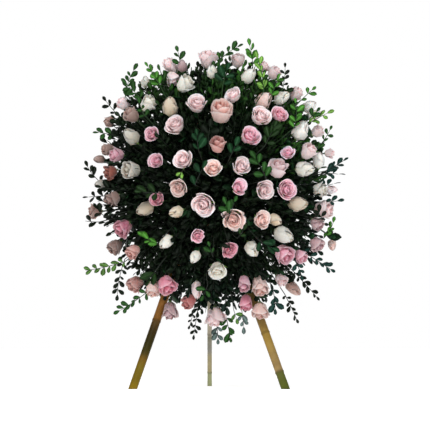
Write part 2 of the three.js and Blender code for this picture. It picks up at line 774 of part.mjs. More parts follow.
function commonColour(members) {
  const counts = {};
  members.forEach((rose) => {
    counts[rose.colour] = (counts[rose.colour] ?? 0) + rose.radius ** 2;
  });
  return Object.keys(counts).reduce((best, next) => (counts[next] > counts[best] ? next : best));
}

function plantBunch({ name, members }) {
  const tips = members.map(bloomBase);
  const own = (i) => `rose ${members[i].index}`;
  const stems = routeStems(name, tips, BUNCH_STEM_RADIUS, ROSE_STEM_RADIUS, own);
  const pieces = [
    stemThrough([stems.root.end, stems.root.mouth, stems.knot], BUNCH_STEM_RADIUS, ROOT_SIDES),
    jointGeometry(stems.root.mouth, stems.knot),
    ...members.map((rose, i) => bloomGeometry(rose, stemPoints(stems.knot, stems.bends[i], tips[i]))),
  ];
  return { name, stems, solid: fuse(pieces), colour: COLOURS[commonColour(members)] };
}

// The leaves: obovate blades, thin at the edge, with a low arch

function leafGeometry(base, way, face, length) {
  const width = length * LEAF_WIDTH;
  const side = new THREE.Vector3().crossVectors(face, way);
  const place = (part, across, lift) => base.clone()
    .addScaledVector(way, part * length)
    .addScaledVector(side, across * width)
    .addScaledVector(face, lift);
  const arch = length * 0.07;
  const outline = [
    place(-0.02, 0, 0),
    place(0.62, -0.5, arch * 0.4),
    place(1, 0, 0),
    place(0.62, 0.5, arch * 0.4),
  ];
  const under = place(0.5, 0, arch - LEAF_THICKNESS / 2);
  const over = place(0.5, 0, arch + LEAF_THICKNESS / 2);
  return skinOver([outline], under, over);
}

const draw = drawFrom(LEAF_SEED);

// Leaves in pairs up a twig, with one at its tip. A leaf with no room is left out.
function leavesOn(owner, from, to, front) {
  const tangent = to.clone().sub(from).normalize();
  const reach = from.distanceTo(to);
  const outward = along(from, to, 0.8).sub(heart).normalize();
  const toward = front ? outward : outward.multiplyScalar(0.25).add(new THREE.Vector3(0, -1, 0.2));
  const face = toward.addScaledVector(tangent, -toward.dot(tangent)).normalize();
  const side = new THREE.Vector3().crossVectors(face, tangent);
  const leaves = [];
  const tryLeaf = (base, way, roll, length) => {
    const tip = base.clone().addScaledVector(way, length);
    if (isFree(owner, base.clone().addScaledVector(way, 5), tip, length * LEAF_WIDTH * 0.42)) {
      const flat = face.clone().addScaledVector(way, -face.dot(way)).normalize().applyAxisAngle(way, roll);
      leaves.push({ geometry: leafGeometry(base, way, flat, length), base, tip });
      return true;
    }
    return false;
  };
  tryLeaf(to, tangent, (draw() - 0.5) * 0.8, LEAF_LENGTH);
  for (let s = reach * LEAF_START; s < reach - 8; s += LEAF_SPACING) {
    for (const hand of [-1, 1]) {
      const base = from.clone().addScaledVector(tangent, s + hand * 3);
      const open = 0.75 + draw() * 0.35;
      const lift = (draw() - 0.4) * 0.5;
      const way = tangent.clone().multiplyScalar(Math.cos(open))
        .addScaledVector(side, hand * Math.sin(open))
        .addScaledVector(face, lift)
        .normalize();
      tryLeaf(base, way, (draw() - 0.5) * 0.9, LEAF_LENGTH * (0.8 + draw() * 0.35));
    }
  }
  leaves.forEach((leaf) => block(owner, leaf.base, leaf.tip, LEAF_LENGTH * LEAF_WIDTH * 0.42));
  return leaves.map((leaf) => leaf.geometry);
}

function plantBranch({ name, tips }) {
  const owner = `greenery_${name}`;
  const ends = tips.map(([x, z, y]) => onSight(x, z, y));
  const stems = ends.map((end) => {
    const way = end.clone().sub(heart).normalize();
    return end.clone().addScaledVector(way, -LEAF_LENGTH);
  });
  const routed = routeStems(owner, stems, BRANCH_RADIUS, TWIG_RADIUS, () => owner);
  const pieces = [stemThrough([routed.root.end, routed.root.mouth, routed.knot], BRANCH_RADIUS, ROOT_SIDES)];
  routed.tips.forEach((tip, i) => {
    pieces.push(stemThrough(stemPoints(routed.knot, routed.bends[i], tip), TWIG_RADIUS, TWIG_SIDES));
    pieces.push(...leavesOn(owner, routed.bends[i], tip, name.startsWith('front')));
  });
  return { name: owner, stems: routed, solid: fuse(pieces), colour: COLOURS.leaf };
}

// The whole: stand, holder, roses and greenery, set with the middle of its box over the origin

const planted = [...bunchRoses().map(plantBunch), ...BRANCHES.map(plantBranch)];

function foamSolid() {
  const { x, y, z } = foamBox.getSize(new THREE.Vector3());
  const middle = foamBox.getCenter(new THREE.Vector3());
  let foam = solidOf(holderBox(x, y, z, middle.y)).transform(holderFrame.elements);
  for (const { name, stems } of planted) {
    const radius = name.startsWith('roses') ? BUNCH_STEM_RADIUS : BRANCH_RADIUS;
    const { end, mouth } = stems.root;
    const way = mouth.clone().sub(end).normalize();
    const start = end.clone().addScaledVector(way, -GAP);
    const hole = stemThrough([start, mouth, stems.knot], radius + GAP * Math.SQRT2, ROOT_SIDES);
    foam = foam.subtract(solidOf(hole));
  }
  return foam;
}

const spray = new THREE.Group();
spray.name = 'standing_spray';
const caneNames = Object.keys(canes);
caneNames.forEach((name) => spray.add(meshOf(name, caneSolid(canes[name]), COLOURS.cane, 0.55)));
spray.add(meshOf('lashing', lashingSolid(), COLOURS.twine, 0.9));
spray.add(meshOf('holder_tray', traySolid(), COLOURS.tray, 0.5));
TIES.forEach(({ name, cane, height }) => {
  spray.add(meshOf(name, tieRing(cane, height, 0), COLOURS.wire, 0.6));
});
spray.add(meshOf('foam_block', foamSolid(), COLOURS.foam, 0.95));
planted.forEach(({ name, solid, colour }) => spray.add(meshOf(name, solid, colour, 0.7)));

const bounds = new THREE.Box3().setFromObject(spray);
const centre = bounds.getCenter(new THREE.Vector3());
spray.position.set(-centre.x, -centre.y, -bounds.min.z);

const whole = new THREE.Group();
whole.add(spray);

export default whole;
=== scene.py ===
# %% [markdown]
# # A standing funeral spray
# The real thing is an oval dome of about ninety garden roses packed with small-leaved greenery. Its
# stems are pushed into a block of floral foam, the foam sits in a plastic tray, and the tray leans
# on a tripod of bamboo canes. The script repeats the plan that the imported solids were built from,
# and dresses them: each rose gets its petals, each branch its leaves, each cane its joints.

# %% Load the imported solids
import math

import bpy
import numpy as np
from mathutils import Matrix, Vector


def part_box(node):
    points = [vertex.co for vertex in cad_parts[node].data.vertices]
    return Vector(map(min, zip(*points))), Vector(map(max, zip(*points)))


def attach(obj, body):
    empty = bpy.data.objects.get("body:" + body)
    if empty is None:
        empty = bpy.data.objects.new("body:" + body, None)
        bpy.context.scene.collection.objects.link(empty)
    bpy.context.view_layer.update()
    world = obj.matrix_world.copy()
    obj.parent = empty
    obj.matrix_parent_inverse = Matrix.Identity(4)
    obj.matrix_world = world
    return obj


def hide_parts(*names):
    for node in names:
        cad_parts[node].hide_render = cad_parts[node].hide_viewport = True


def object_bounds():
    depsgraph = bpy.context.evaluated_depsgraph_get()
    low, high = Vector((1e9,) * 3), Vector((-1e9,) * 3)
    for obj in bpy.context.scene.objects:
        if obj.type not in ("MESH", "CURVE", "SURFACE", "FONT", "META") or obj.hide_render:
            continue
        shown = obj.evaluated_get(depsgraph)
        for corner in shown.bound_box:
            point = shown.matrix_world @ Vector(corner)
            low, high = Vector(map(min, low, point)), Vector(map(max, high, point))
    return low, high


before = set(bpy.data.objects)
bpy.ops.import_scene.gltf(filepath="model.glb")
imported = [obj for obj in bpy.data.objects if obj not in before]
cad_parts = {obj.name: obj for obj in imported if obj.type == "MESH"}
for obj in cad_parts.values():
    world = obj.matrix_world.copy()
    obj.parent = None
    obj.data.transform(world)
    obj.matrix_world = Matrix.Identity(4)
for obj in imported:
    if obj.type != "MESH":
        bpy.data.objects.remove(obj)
solids_low, solids_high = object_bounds()
print("box of the solids, m:", tuple(solids_low), tuple(solids_high))

# %% [markdown]
# The planting was planned in millimetres, on a plan whose front faces -Y. Places were read off a
# front view by an eye 6.5 m away, so a point at depth y moves a little along that line of sight.
# Working in the same plan keeps every petal on its solid. One measured shift takes plan
# millimetres to the model's metres.

# %% The plan, in millimetres
MM = 0.001
VIEW_DISTANCE = 6500.0
VIEW_HEIGHT = 150.0
HEAD = {"rim_y": -45.0, "z": 591.0, "half_width": 378.0, "half_height": 412.0, "depth": 235.0}
FOAM = {"width": 230.0, "depth": 80.0, "z": 556.0}
TRAY_WALL = 3.0
TRAY_DEPTH = 36.0
TRAY_STANDOFF = 22.0
GAP = 0.3
FRONT_CANE_RADIUS = 12.4


def on_sight(x, z, y):
    """A place in the front view, carried along the line of sight to depth y."""
    scale = (VIEW_DISTANCE + y) / VIEW_DISTANCE
    return np.array([x * scale, y, VIEW_HEIGHT + (z - VIEW_HEIGHT) * scale])


def unit(vectors):
    """Vectors made one long, along the last axis."""
    vectors = np.asarray(vectors, float)
    return vectors / np.maximum(np.linalg.norm(vectors, axis=-1, keepdims=True), 1e-9)


def cane_line(foot_x, foot_y, cross_x, cross_y, top):
    """A cane's foot on the floor and its way up, per millimetre of height."""
    low = on_sight(foot_x, 0.0, foot_y)
    low[2] = 0.0
    way = on_sight(cross_x, 642.0, cross_y) - low
    return {"low": low, "way": way / way[2], "top": top}


CANES = {
    "leg_front_left": {**cane_line(-246, -200, -21, -8, 705), "radius": FRONT_CANE_RADIUS,
                       "joints": [198, 455]},
    "leg_front_right": {**cane_line(211, -200, -21, 20, 705), "radius": FRONT_CANE_RADIUS,
                        "joints": [48, 162, 430]},
    "leg_back": {**cane_line(-16, 190, -16, 58, 668), "radius": 7.0, "joints": [42, 159, 320, 500]},
}


def on_cane(cane, height):
    return cane["low"] + cane["way"] * height


lean = math.atan(CANES["leg_front_left"]["way"][1])
back_y = (on_cane(CANES["leg_front_left"], FOAM["z"])[1] - FRONT_CANE_RADIUS / math.cos(lean)
          - TRAY_STANDOFF)
HOLDER_PLACE = np.array([0.0, back_y, FOAM["z"]])
HOLDER_TURN = np.array([[1, 0, 0], [0, math.cos(lean), math.sin(lean)],
                        [0, -math.sin(lean), math.cos(lean)]])
FOAM_BACK = -TRAY_WALL - GAP
FOAM_LOW = np.array([-FOAM["width"] / 2, FOAM_BACK - FOAM["depth"], -FOAM["width"] / 2])
FOAM_HIGH = np.array([FOAM["width"] / 2, FOAM_BACK, FOAM["width"] / 2])


def from_holder(point):
    return HOLDER_TURN @ np.asarray(point, float) + HOLDER_PLACE


def to_holder(point):
    return HOLDER_TURN.T @ (np.asarray(point, float) - HOLDER_PLACE)


corners = [from_holder([x, y, z]) for x in (FOAM_LOW[0], FOAM_HIGH[0])
           for y in (FOAM_LOW[1], FOAM_HIGH[1]) for z in (FOAM_LOW[2], FOAM_HIGH[2])]
foam_low, foam_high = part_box("foam_block")
SHIFT = np.array(foam_low) - np.min(corners, axis=0) * MM
print("plan to model, m:", SHIFT.round(5), "size error, m:",
      (np.array(foam_high) - np.max(corners, axis=0) * MM - SHIFT).round(6))


def to_model(points):
    """Plan millimetres to the model's metres."""
    return np.asarray(points, float) * MM + SHIFT


# %% [markdown]
# The camera stands 6.5 m in front and low, with a long lens tilted up 3 degrees, which is the view
# that the plan was read from. The room is white all round. A soft key light hangs above the front
# left, and a weaker one fills in from the lower right.

# %% Camera, floor and light
# The picture's width on the plan, and the height at its middle
PICTURE_WIDTH = 1290.0
PICTURE_MIDDLE_Z = 516.0
SENSOR_WIDTH = 36.0


def linear(hex_colour):
    """An sRGB hex colour as the linear RGBA that Blender works in."""
    parts = [int(hex_colour[i:i + 2], 16) / 255 for i in (1, 3, 5)]
    return tuple(p / 12.92 if p <= 0.04045 else ((p + 0.055) / 1.055) ** 2.4 for p in parts) + (1.0,)


def add(tree, kind, inputs=None, **settings):
    """Adds a node, with its settings, and its inputs as values or as links from other sockets."""
    made = tree.nodes.new(kind)
    for key, value in settings.items():
        setattr(made, key, value)
    for key, value in (inputs or {}).items():
        if isinstance(value, bpy.types.NodeSocket):
            tree.links.new(value, made.inputs[key])
        else:
            made.inputs[key].default_value = value
    return made


def put(name, data):
    """A new object at the origin, linked to the scene."""
    made = bpy.data.objects.new(name, data)
    bpy.context.scene.collection.objects.link(made)
    return made


eye = to_model([0, -VIEW_DISTANCE, VIEW_HEIGHT])
aim = to_model([0, 0, PICTURE_MIDDLE_Z])
camera = put("camera", bpy.data.cameras.new("camera"))
camera.location = eye
camera.rotation_euler = Vector(aim - eye).to_track_quat("-Z", "Y").to_euler()
camera.data.sensor_width = SENSOR_WIDTH
camera.data.lens = SENSOR_WIDTH * float(np.linalg.norm(aim - eye)) / (PICTURE_WIDTH * MM)
camera.data.dof.use_dof = False
bpy.context.scene.camera = camera
print("lens, mm:", round(camera.data.lens, 1))


def mesh_object(name, points, faces, material):
    """A smooth mesh of one material, from points in metres."""
    mesh = bpy.data.meshes.new(name)
    mesh.from_pydata([tuple(p) for p in points], [], [tuple(f) for f in faces])
    mesh.materials.append(material)
    mesh.polygons.foreach_set("use_smooth", [True] * len(mesh.polygons))
    return put(name, mesh)


def finish_of(name, **constants):
    """A new material and its Principled shader, with the constants set on its sockets."""
    material = bpy.data.materials.new(name)
    material.use_nodes = True
    shader = material.node_tree.nodes["Principled BSDF"]
    for key, value in constants.items():
        shader.inputs[key.replace("_", " ")].default_value = value
    return material, material.node_tree, shader


def two_toned(tree, shader, pattern, colours, relief=None, strength=0.0, depth=0.001):
    """Runs the base colour between two by a pattern, and may raise a relief, its depth in metres."""
    tone = add(tree, "ShaderNodeMix", {0: pattern, 6: linear(colours[0]), 7: linear(colours[1])},
               data_type="RGBA")
    tree.links.new(tone.outputs[2], shader.inputs["Base Color"])
    if relief is not None:
        bump = add(tree, "ShaderNodeBump", {"Strength": strength, "Distance": depth, "Height": relief})
        tree.links.new(bump.outputs["Normal"], shader.inputs["Normal"])


# Matt white paper on a light table: it lights the lower leaves from below
FLOOR_GLOW = 0.55
FLOOR_HALF = 20
paper, tree, shader = finish_of("white paper", Roughness=0.9, Emission_Strength=FLOOR_GLOW)
shader.inputs["Emission Color"].default_value = linear("#ffffff")
grain = add(tree, "ShaderNodeTexNoise", {"Scale": 40.0, "Detail": 2.0})
two_toned(tree, shader, grain.outputs["Fac"], ("#f4f3f1", "#fbfaf8"))
floor_corners = [(x * FLOOR_HALF, y * FLOOR_HALF, 0) for x, y in ((-1, -1), (1, -1), (1, 1), (-1, 1))]
floor = mesh_object("floor", floor_corners, [(0, 1, 2, 3)], paper)

# The studio: one white wall behind the spray, and softer walls all round that meet the floor in a curve
WALL, ROOM = 1.0, 0.5
world = bpy.data.worlds.new("white studio")
world.use_nodes = True
tree = world.node_tree
direction = add(tree, "ShaderNodeTexCoord")
parts = add(tree, "ShaderNodeSeparateXYZ", {0: direction.outputs["Generated"]})
wall = add(tree, "ShaderNodeMapRange", {0: parts.outputs["Y"], 1: 0.8, 2: 0.93, 3: ROOM, 4: WALL})
cove = add(tree, "ShaderNodeMapRange", {0: parts.outputs["Z"], 1: 0.0, 2: 0.3, 3: WALL, 4: ROOM},
           interpolation_type="SMOOTHSTEP")
bright = add(tree, "ShaderNodeMath", {0: wall.outputs[0], 1: cove.outputs[0]}, operation="MAXIMUM")
sky = tree.nodes["Background"]
sky.inputs["Color"].default_value = linear("#ffffff")
tree.links.new(bright.outputs[0], sky.inputs["Strength"])
bpy.context.scene.world = world
bpy.context.scene.view_settings.view_transform = "Standard"


def soft_light(name, place, target, size, power):
    """A round area light that faces a target, in metres and watts."""
    data = bpy.data.lights.new(name, "AREA")
    data.shape = "DISK"
    data.size = size
    data.energy = power
    light = put(name, data)
    light.location = place
    light.rotation_euler = (Vector(target) - Vector(place)).to_track_quat("-Z", "Y").to_euler()


HEAD_MIDDLE = (0, 0, 0.6)
soft_light("key light", (-0.7, -2.6, 2.6), HEAD_MIDDLE, size=0.9, power=58.0)
soft_light("fill light", (0.9, -3.0, 0.9), HEAD_MIDDLE, size=1.2, power=14.0)
print("a white room with", len(bpy.data.lights), "soft lights")

# %% [markdown]
# Each rose is one row of the planting list: its place in the front view, its width, how far it has
# opened, the bearing that it faces (None means straight out from the middle) and its colour. A rose
# that differs from its kind says how: a longer bloom, its own lean in degrees, or a shade, which is
# painted light above 1, where the bloom is painted paler, and painted shade below 1, where it is
# painted darker. Where two blooms would meet, one comes forward and the other goes back, as a
# florist settles them.

# %% The planting list
ROSES = [
    (-135, 966, 42, "half", 135, "blush", {"length": 1.3, "shade": 1.12}),
    (-99, 966, 32, "bud", 90, "mauve", {"shade": 0.75}), (-90, 912, 54, "half", 45, "white"),
    (-210, 918, 30, "bud", 90, "white"), (-201, 852, 51, "half", 45, "white"),
    (-276, 852, 42, "half", 135, "blush", {"shade": 1.2}), (-252, 819, 48, "half", 135, "dusty"),
    (-318, 798, 34, "half", 215, "dusty"), (-135, 843, 51, "bud", 90, "cream", {"shade": 0.9}),
    (-54, 855, 66, "open", 90, "blush", {"lean": 40, "shade": 0.86}),
    (18, 828, 72, "half", 90, "peach", {"lean": 50, "shade": 1.08}),
    (54, 879, 54, "open", 135, "blush", {"lean": 48}),
    (-21, 987, 57, "half", 90, "blush", {"shade": 1.1}), (-9, 948, 36, "bud", 90, "white"),
    (69, 984, 45, "half", 90, "blush"), (102, 936, 45, "bud", 45, "white"),
    (-120, 789, 66, "open", None, "blush", {"lean": 38, "shade": 0.8}),
    (147, 963, 34, "half", 45, "blush"), (180, 945, 42, "half", 45, "blush"),
    (246, 882, 42, "half", 45, "blush"), (201, 870, 45, "bud", 30, "white", {"shade": 1.1}),
    (147, 861, 51, "bud", 45, "peach", {"shade": 0.82}),
    (285, 843, 39, "bud", 30, "pale", {"shade": 1.08}),
    (300, 816, 36, "bud", 30, "pale", {"shade": 1.08}),
    (138, 816, 66, "open", 45, "blush", {"lean": 38, "shade": 0.98}),
    (195, 819, 54, "open", None, "rosy", {"lean": 40}),
    (-192, 759, 51, "open", 150, "pink", {"shade": 0.84}), (-252, 753, 48, "bud", 135, "shaded"),
    (-324, 714, 39, "half", 180, "dusty", {"shade": 0.82}),
    (-297, 696, 45, "half", 180, "pink", {"shade": 0.82}),
    (-348, 684, 30, "bud", 180, "dusty", {"shade": 0.74}), (-315, 645, 42, "half", 200, "rust"),
    (-252, 651, 57, "half", 180, "shaded"), (-177, 678, 51, "open", 150, "pink", {"shade": 0.84}),
    (-345, 609, 30, "bud", 190, "shaded", {"shade": 0.8}), (-99, 684, 66, "open", None, "blush"),
    (-111, 597, 57, "open", 220, "peach", {"shade": 0.75}),
    (-6, 657, 60, "open", None, "peach", {"shade": 1.08}), (81, 663, 63, "open", None, "blush"),
    (72, 600, 54, "open", None, "pink", {"shade": 1.1}),
    (9, 729, 51, "half", 90, "salmon", {"shade": 1.12}), (105, 756, 66, "open", 45, "pink", {"lean": 38}),
    (258, 771, 54, "bud", 60, "pale", {"shade": 0.98}),
    (309, 768, 39, "half", 30, "blush", {"shade": 1.1}),
    (219, 705, 45, "open", 110, "pink", {"shade": 1.32}), (282, 708, 51, "half", 45, "blush"),
    (312, 681, 42, "bud", 90, "pale", {"shade": 1.04}),
    (345, 702, 30, "half", 0, "blush", {"shade": 1.2}), (189, 657, 57, "half", 75, "blush"),
    (270, 654, 51, "bud", 0, "white"), (150, 591, 63, "open", 330, "blush", {"shade": 0.98}),
    (216, 594, 66, "open", 0, "pink"), (315, 591, 45, "half", 0, "white", {"shade": 0.88}),
    (351, 591, 30, "bud", 0, "blush", {"shade": 1.4}),
    (-309, 564, 48, "half", 215, "dusty", {"shade": 0.7}), (-360, 528, 42, "half", 180, "dusty"),
    (-174, 564, 48, "open", 150, "deep", {"shade": 0.88}),
    (-210, 534, 48, "bud", 205, "cream", {"shade": 0.7}),
    (-276, 477, 54, "half", 225, "deep", {"shade": 0.82}),
    (-300, 420, 48, "half", 225, "dusty", {"shade": 0.55}), (-246, 405, 45, "half", 225, "salmon"),
    (-147, 435, 42, "bud", 225, "white"), (-117, 525, 39, "bud", 200, "cream"),
    (-36, 546, 78, "open", None, "blush"), (-51, 453, 45, "open", 315, "rosy"),
    (54, 501, 75, "open", 270, "peach"), (45, 411, 54, "open", 315, "deep", {"lean": 42}),
    (-60, 390, 36, "bud", 240, "white"), (249, 549, 51, "bud", 0, "cream", {"shade": 0.8}),
    (141, 501, 60, "open", 0, "peach", {"lean": 36}), (180, 501, 39, "bud", 330, "cream"),
    (207, 456, 54, "bud", 330, "white", {"shade": 0.82}), (327, 531, 60, "half", 0, "blush"),
    (306, 489, 42, "half", 315, "mauve", {"shade": 0.86}), (111, 414, 45, "bud", 300, "white"),
    (207, 399, 60, "half", 315, "pink"), (258, 393, 42, "half", 315, "pink"),
    (306, 429, 45, "half", 315, "mauve"), (351, 426, 30, "bud", 270, "peach", {"shade": 1.15}),
    (-240, 309, 51, "half", 225, "salmon", {"shade": 0.8}), (-186, 294, 51, "half", 270, "peach"),
    (-144, 306, 57, "half", 300, "deep", {"shade": 1.15}),
    (-135, 228, 48, "half", 270, "mauve", {"length": 1.15, "shade": 0.8}),
    (9, 348, 63, "open", 270, "white", {"lean": 50, "shade": 0.9}),
    (-54, 291, 39, "bud", 270, "blush", {"length": 1.25, "shade": 0.9}),
    (-78, 255, 42, "half", 225, "coral", {"length": 1.15, "shade": 0.88}),
    (0, 210, 60, "half", 270, "blush"),
    (87, 309, 39, "half", 270, "pink", {"length": 1.4, "shade": 0.78}),
    (93, 252, 42, "half", 270, "deep", {"length": 1.25}),
    (135, 303, 54, "half", 280, "peach", {"length": 1.2, "shade": 0.86}),
    (135, 228, 51, "half", 270, "peach", {"shade": 0.84}),
    (198, 321, 36, "half", 315, "blush", {"length": 1.2}),
    (234, 297, 39, "bud", 315, "dusty", {"length": 1.3, "shade": 1.5}),
]
# A rose that the solids leave out, with its depth: it hangs under the topmost on the left
ADDED_ROSE = (-126, 928, 42, "half", 300, "blush")
ADDED_DEPTH = -128.0
# How far each form leans from the line of sight, in degrees. Half-open ones lean up to RIM_TILT
# near the dome's rim: from a share RIM_START of the way out, and over a further share RIM_BAND.
TILTS = {"open": 28, "half": 55, "bud": 66}
RIM_TILT = 74
RIM_START = 0.7
RIM_BAND = 0.2
# How far each form's foot lies below its middle, as a share of its radius
BOTTOMS = {"open": -0.8, "half": -1.08, "bud": -1.25}
# The room that a bloom needs: a bud's reach as a share of its radius, a gap in millimetres, and
# what a cane takes, as a share of the cane's radius
BUD_REACH = 1.08
BLOOM_GAP = 1.0
CANE_BERTH = 1.2
SETTLING_ROUNDS = 80


def dome_depth(x, z):
    """The depth y of the dome's surface at a place in the front view."""
    u, v = x / HEAD["half_width"], (z - HEAD["z"]) / HEAD["half_height"]
    return HEAD["rim_y"] - HEAD["depth"] * math.sqrt(max(0.0, 1 - u * u - v * v))


def rose_of(x, z, across, form, faces, colour, own=None):
    """One row of the list, as a rose on the dome."""
    u = x / HEAD["half_width"]
    v = (z - HEAD["z"]) / HEAD["half_height"]
    bearing = math.degrees(math.atan2(v, u)) % 360
    radius = across / 2
    # A row's shade is painted light above 1 and painted shade below 1
    return {"x": x, "z": z, "y": dome_depth(x, z), "form": form, "colour": colour,
            "radius": radius, "reach": radius * (BUD_REACH if form == "bud" else 1.0) + BLOOM_GAP,
            "spread": math.hypot(u, v), "bearing": bearing, "facing": bearing if faces is None else faces,
            "length": 1.0, "lean": TILTS[form], "shade": 1.0, **(own or {})}


def keep_apart(roses):
    """Where two blooms would meet, one comes forward and the other goes back."""
    for i, a in enumerate(roses):
        for b in roses[i + 1:]:
            need = a["reach"] + b["reach"]
            flat = math.hypot(a["x"] - b["x"], a["z"] - b["z"])
            if flat < need:
                short = math.sqrt(need * need - flat * flat) - abs(a["y"] - b["y"])
                if short > 0:
                    step = (-short if a["y"] <= b["y"] else short) / 2
                    a["y"] += step
                    b["y"] -= step


def keep_off_canes(rose):
    """A bloom in a cane's way comes forward."""
    for cane in CANES.values():
        middle = on_sight(rose["x"], rose["z"], rose["y"])
        start, end = on_cane(cane, 0), on_cane(cane, cane["top"])
        part = np.clip((middle - start) @ (end - start) / ((end - start) @ (end - start)), 0, 1)
        far = np.linalg.norm(middle - start - (end - start) * part)
        rose["y"] -= max(0.0, rose["reach"] + cane["radius"] * CANE_BERTH - far)


def stand_up(rose):
    """Gives a settled rose its middle, its radius there, its axis and its foot."""
    tilt, facing = rose["lean"], math.radians(rose["facing"])
    if rose["form"] == "half":
        tilt += (RIM_TILT - tilt) * min(1.0, max(0.0, (rose["spread"] - RIM_START) / RIM_BAND))
    tilt = math.radians(tilt)
    rose["middle"] = on_sight(rose["x"], rose["z"], rose["y"])
    rose["radius"] *= (VIEW_DISTANCE + rose["y"]) / VIEW_DISTANCE
    rose["axis"] = np.array([math.sin(tilt) * math.cos(facing), -math.cos(tilt),
                             math.sin(tilt) * math.sin(facing)])
    to_foot = rose["axis"] * BOTTOMS[rose["form"]] * rose["length"] * rose["radius"]
    rose["base"] = rose["middle"] + to_foot


roses = [rose_of(*row) for row in ROSES]
for _ in range(SETTLING_ROUNDS):
    keep_apart(roses)
    for rose in roses:
        keep_off_canes(rose)
roses.append({**rose_of(*ADDED_ROSE), "y": ADDED_DEPTH})
for rose in roses:
    stand_up(rose)
depths = [round(rose["y"]) for rose in roses]
print(len(roses), "roses,", min(depths), "to", max(depths), "mm")

# %% [markdown]
# The solids hold the roses in bunches, by ring and sector of the dome. The same rule finds each
# rose's bunch here, and the boxes of the solids show that it is the right one.

# %% Sort the roses into their bunches
# Each ring's name, its edges as shares of the way to the rim, its sectors and where they start
BUNCH_RINGS = (("inner", 0.0, 0.36, 3, 90), ("middle", 0.36, 0.66, 8, 20), ("outer", 0.66, 1.2, 15, 12))
BOX_SLACK = 0.001
bunches = {}
for rose in roses:
    for ring, low, high, sectors, turn in BUNCH_RINGS:
        if low <= rose["spread"] < high:
            sector = int(((rose["bearing"] - turn) % 360) / (360 / sectors))
            bunches.setdefault(f"roses_{ring}_{sector + 1}", []).append(rose)
misses = 0
for node, members in bunches.items():
    low, high = (np.array(corner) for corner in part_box(node))
    for rose in members:
        place = to_model(rose["middle"])
        misses += int(np.any(place < low - BOX_SLACK) or np.any(place > high + BOX_SLACK))
print(len(bunches), "bunches,", misses, "roses outside their solid's box")

# %% [markdown]
# A rose is a cup of petals set round a spiral. Each petal is a sheet bent over a curve from its
# foot to its lip. The heart's petals are narrow curves that wrap most of the way round. The outer
# ones lean out and roll their lips back. The curves of three petals, heart, middle and guard, are
# given here in parts of the bloom's radius, as distance from the axis and height. The rest are
# drawn between them. Writing the petals as arrays keeps every rose different, which copies of
# one rose would not be.

# %% The shapes of a bloom
BLOOMS = {
    "open": {"petals": 18, "curl": 0.10, "span": (1.9, 1.4, 1.2), "point": 0.14,
             "heart": [(0.03, -0.55), (0.22, -0.30), (0.20, 0.24), (0.06, 0.44)],
             "middle": [(0.08, -0.66), (0.50, -0.66), (0.44, 0.14), (0.54, 0.46)],
             "guard": [(0.12, -0.80), (0.86, -0.94), (0.76, 0.02), (0.97, 0.22)]},
    "half": {"petals": 12, "curl": 0.12, "span": (1.9, 1.65, 1.35), "point": 0.2,
             "heart": [(0.03, -0.60), (0.32, -0.40), (0.27, 0.45), (0.05, 0.92)],
             "middle": [(0.10, -0.90), (0.70, -0.84), (0.62, 0.20), (0.60, 0.84)],
             "guard": [(0.14, -1.08), (0.90, -1.06), (0.72, 0.04), (1.06, 0.56)]},
    "bud": {"petals": 6, "curl": 0.015, "span": (2.4, 2.2, 1.9), "point": 0.3,
            "heart": [(0.03, -0.80), (0.52, -0.60), (0.46, 0.60), (0.02, 1.24)],
            "middle": [(0.14, -1.10), (1.08, -1.02), (0.95, 0.48), (0.14, 1.16)],
            "guard": [(0.18, -1.20), (1.14, -1.12), (0.99, 0.38), (0.30, 1.08)]},
}
# How unevenly the petals of each form sit, and how far they crowd towards its heart
LOOSENESS = {"open": 0.85, "half": 1.0, "bud": 0.25}
CROWDING = {"open": 1.4, "half": 1.0, "bud": 1.0}
# A small bloom has this share of its petals, and a 70th more for each millimetre of radius
FEWEST_PETALS = 0.6
MM_FOR_MORE = 70.0
GOLDEN_ANGLE = math.radians(137.508)
# A petal's draws of an angle lie between 0 and this
NEARLY_A_TURN = 6.28
PETAL_THICKNESS = 0.7
# The petals reach a little past the rounded solid of their bloom
FULLNESS = 1.07
# Where a petal's points lie, across it and from its foot to its lip
ACROSS = np.linspace(-1, 1, 7)
UP = np.array([0, 0.36, 0.66, 0.87, 1.0])
RUFFLE = 0.024
SWIRL = 0.22
# How far the draws move a petal's lip and width, its reach round the bloom and its turn
JITTER = {"lip": 0.035, "width": 0.03, "span": 0.06, "turn": 0.09}


def ease(value):
    """From 0 to 1 with a soft start and end."""
    value = np.clip(value, 0, 1)
    return value * value * (3 - 2 * value)


def curve_weights(part):
    """The weights of a cubic curve's four control points."""
    return ((1 - part) ** 3, 3 * (1 - part) ** 2 * part, 3 * (1 - part) * part ** 2, part ** 3)


def bent_sheets(control, start, span, curl, swirl, point, ruffle, phase):
    """Petal sheets as points (petal, up, across, xyz), for a bloom of radius 1 on the z axis."""
    across, up = np.meshgrid(ACROSS, UP)
    reach = up * (1 - point * np.abs(across) ** 1.8 * up)
    profile = np.einsum("kij,nkc->nijc", np.stack(curve_weights(reach)), control)
    per_petal = [np.asarray(v, float).reshape(-1, 1, 1) for v in (start, span, curl, swirl, phase)]
    start, span, curl, swirl, phase = per_petal
    # The lip rolls out and down, most of all at its two corners
    lip = ease((up - 0.6) / 0.4)
    edge = np.abs(across) ** 3
    out = curl * lip * (0.55 + 0.75 * edge)
    away = (profile[..., 0] + out) * (1 + swirl * across)
    height = profile[..., 1] - out * (0.35 + 0.85 * lip)
    height = height + ruffle * np.sin(across * 7 + phase) * lip
    # A petal is narrow at its foot, broad in the middle and rounded at its lip
    width = 0.34 + 0.66 * np.sin(np.clip(up / 0.6, 0, 1) * math.pi / 2)
    width = width * (1 - (0.12 + point) * ease((up - 0.7) / 0.3))
    angle = start + across * span * width
    return np.stack([away * np.cos(angle), away * np.sin(angle), height], axis=-1)


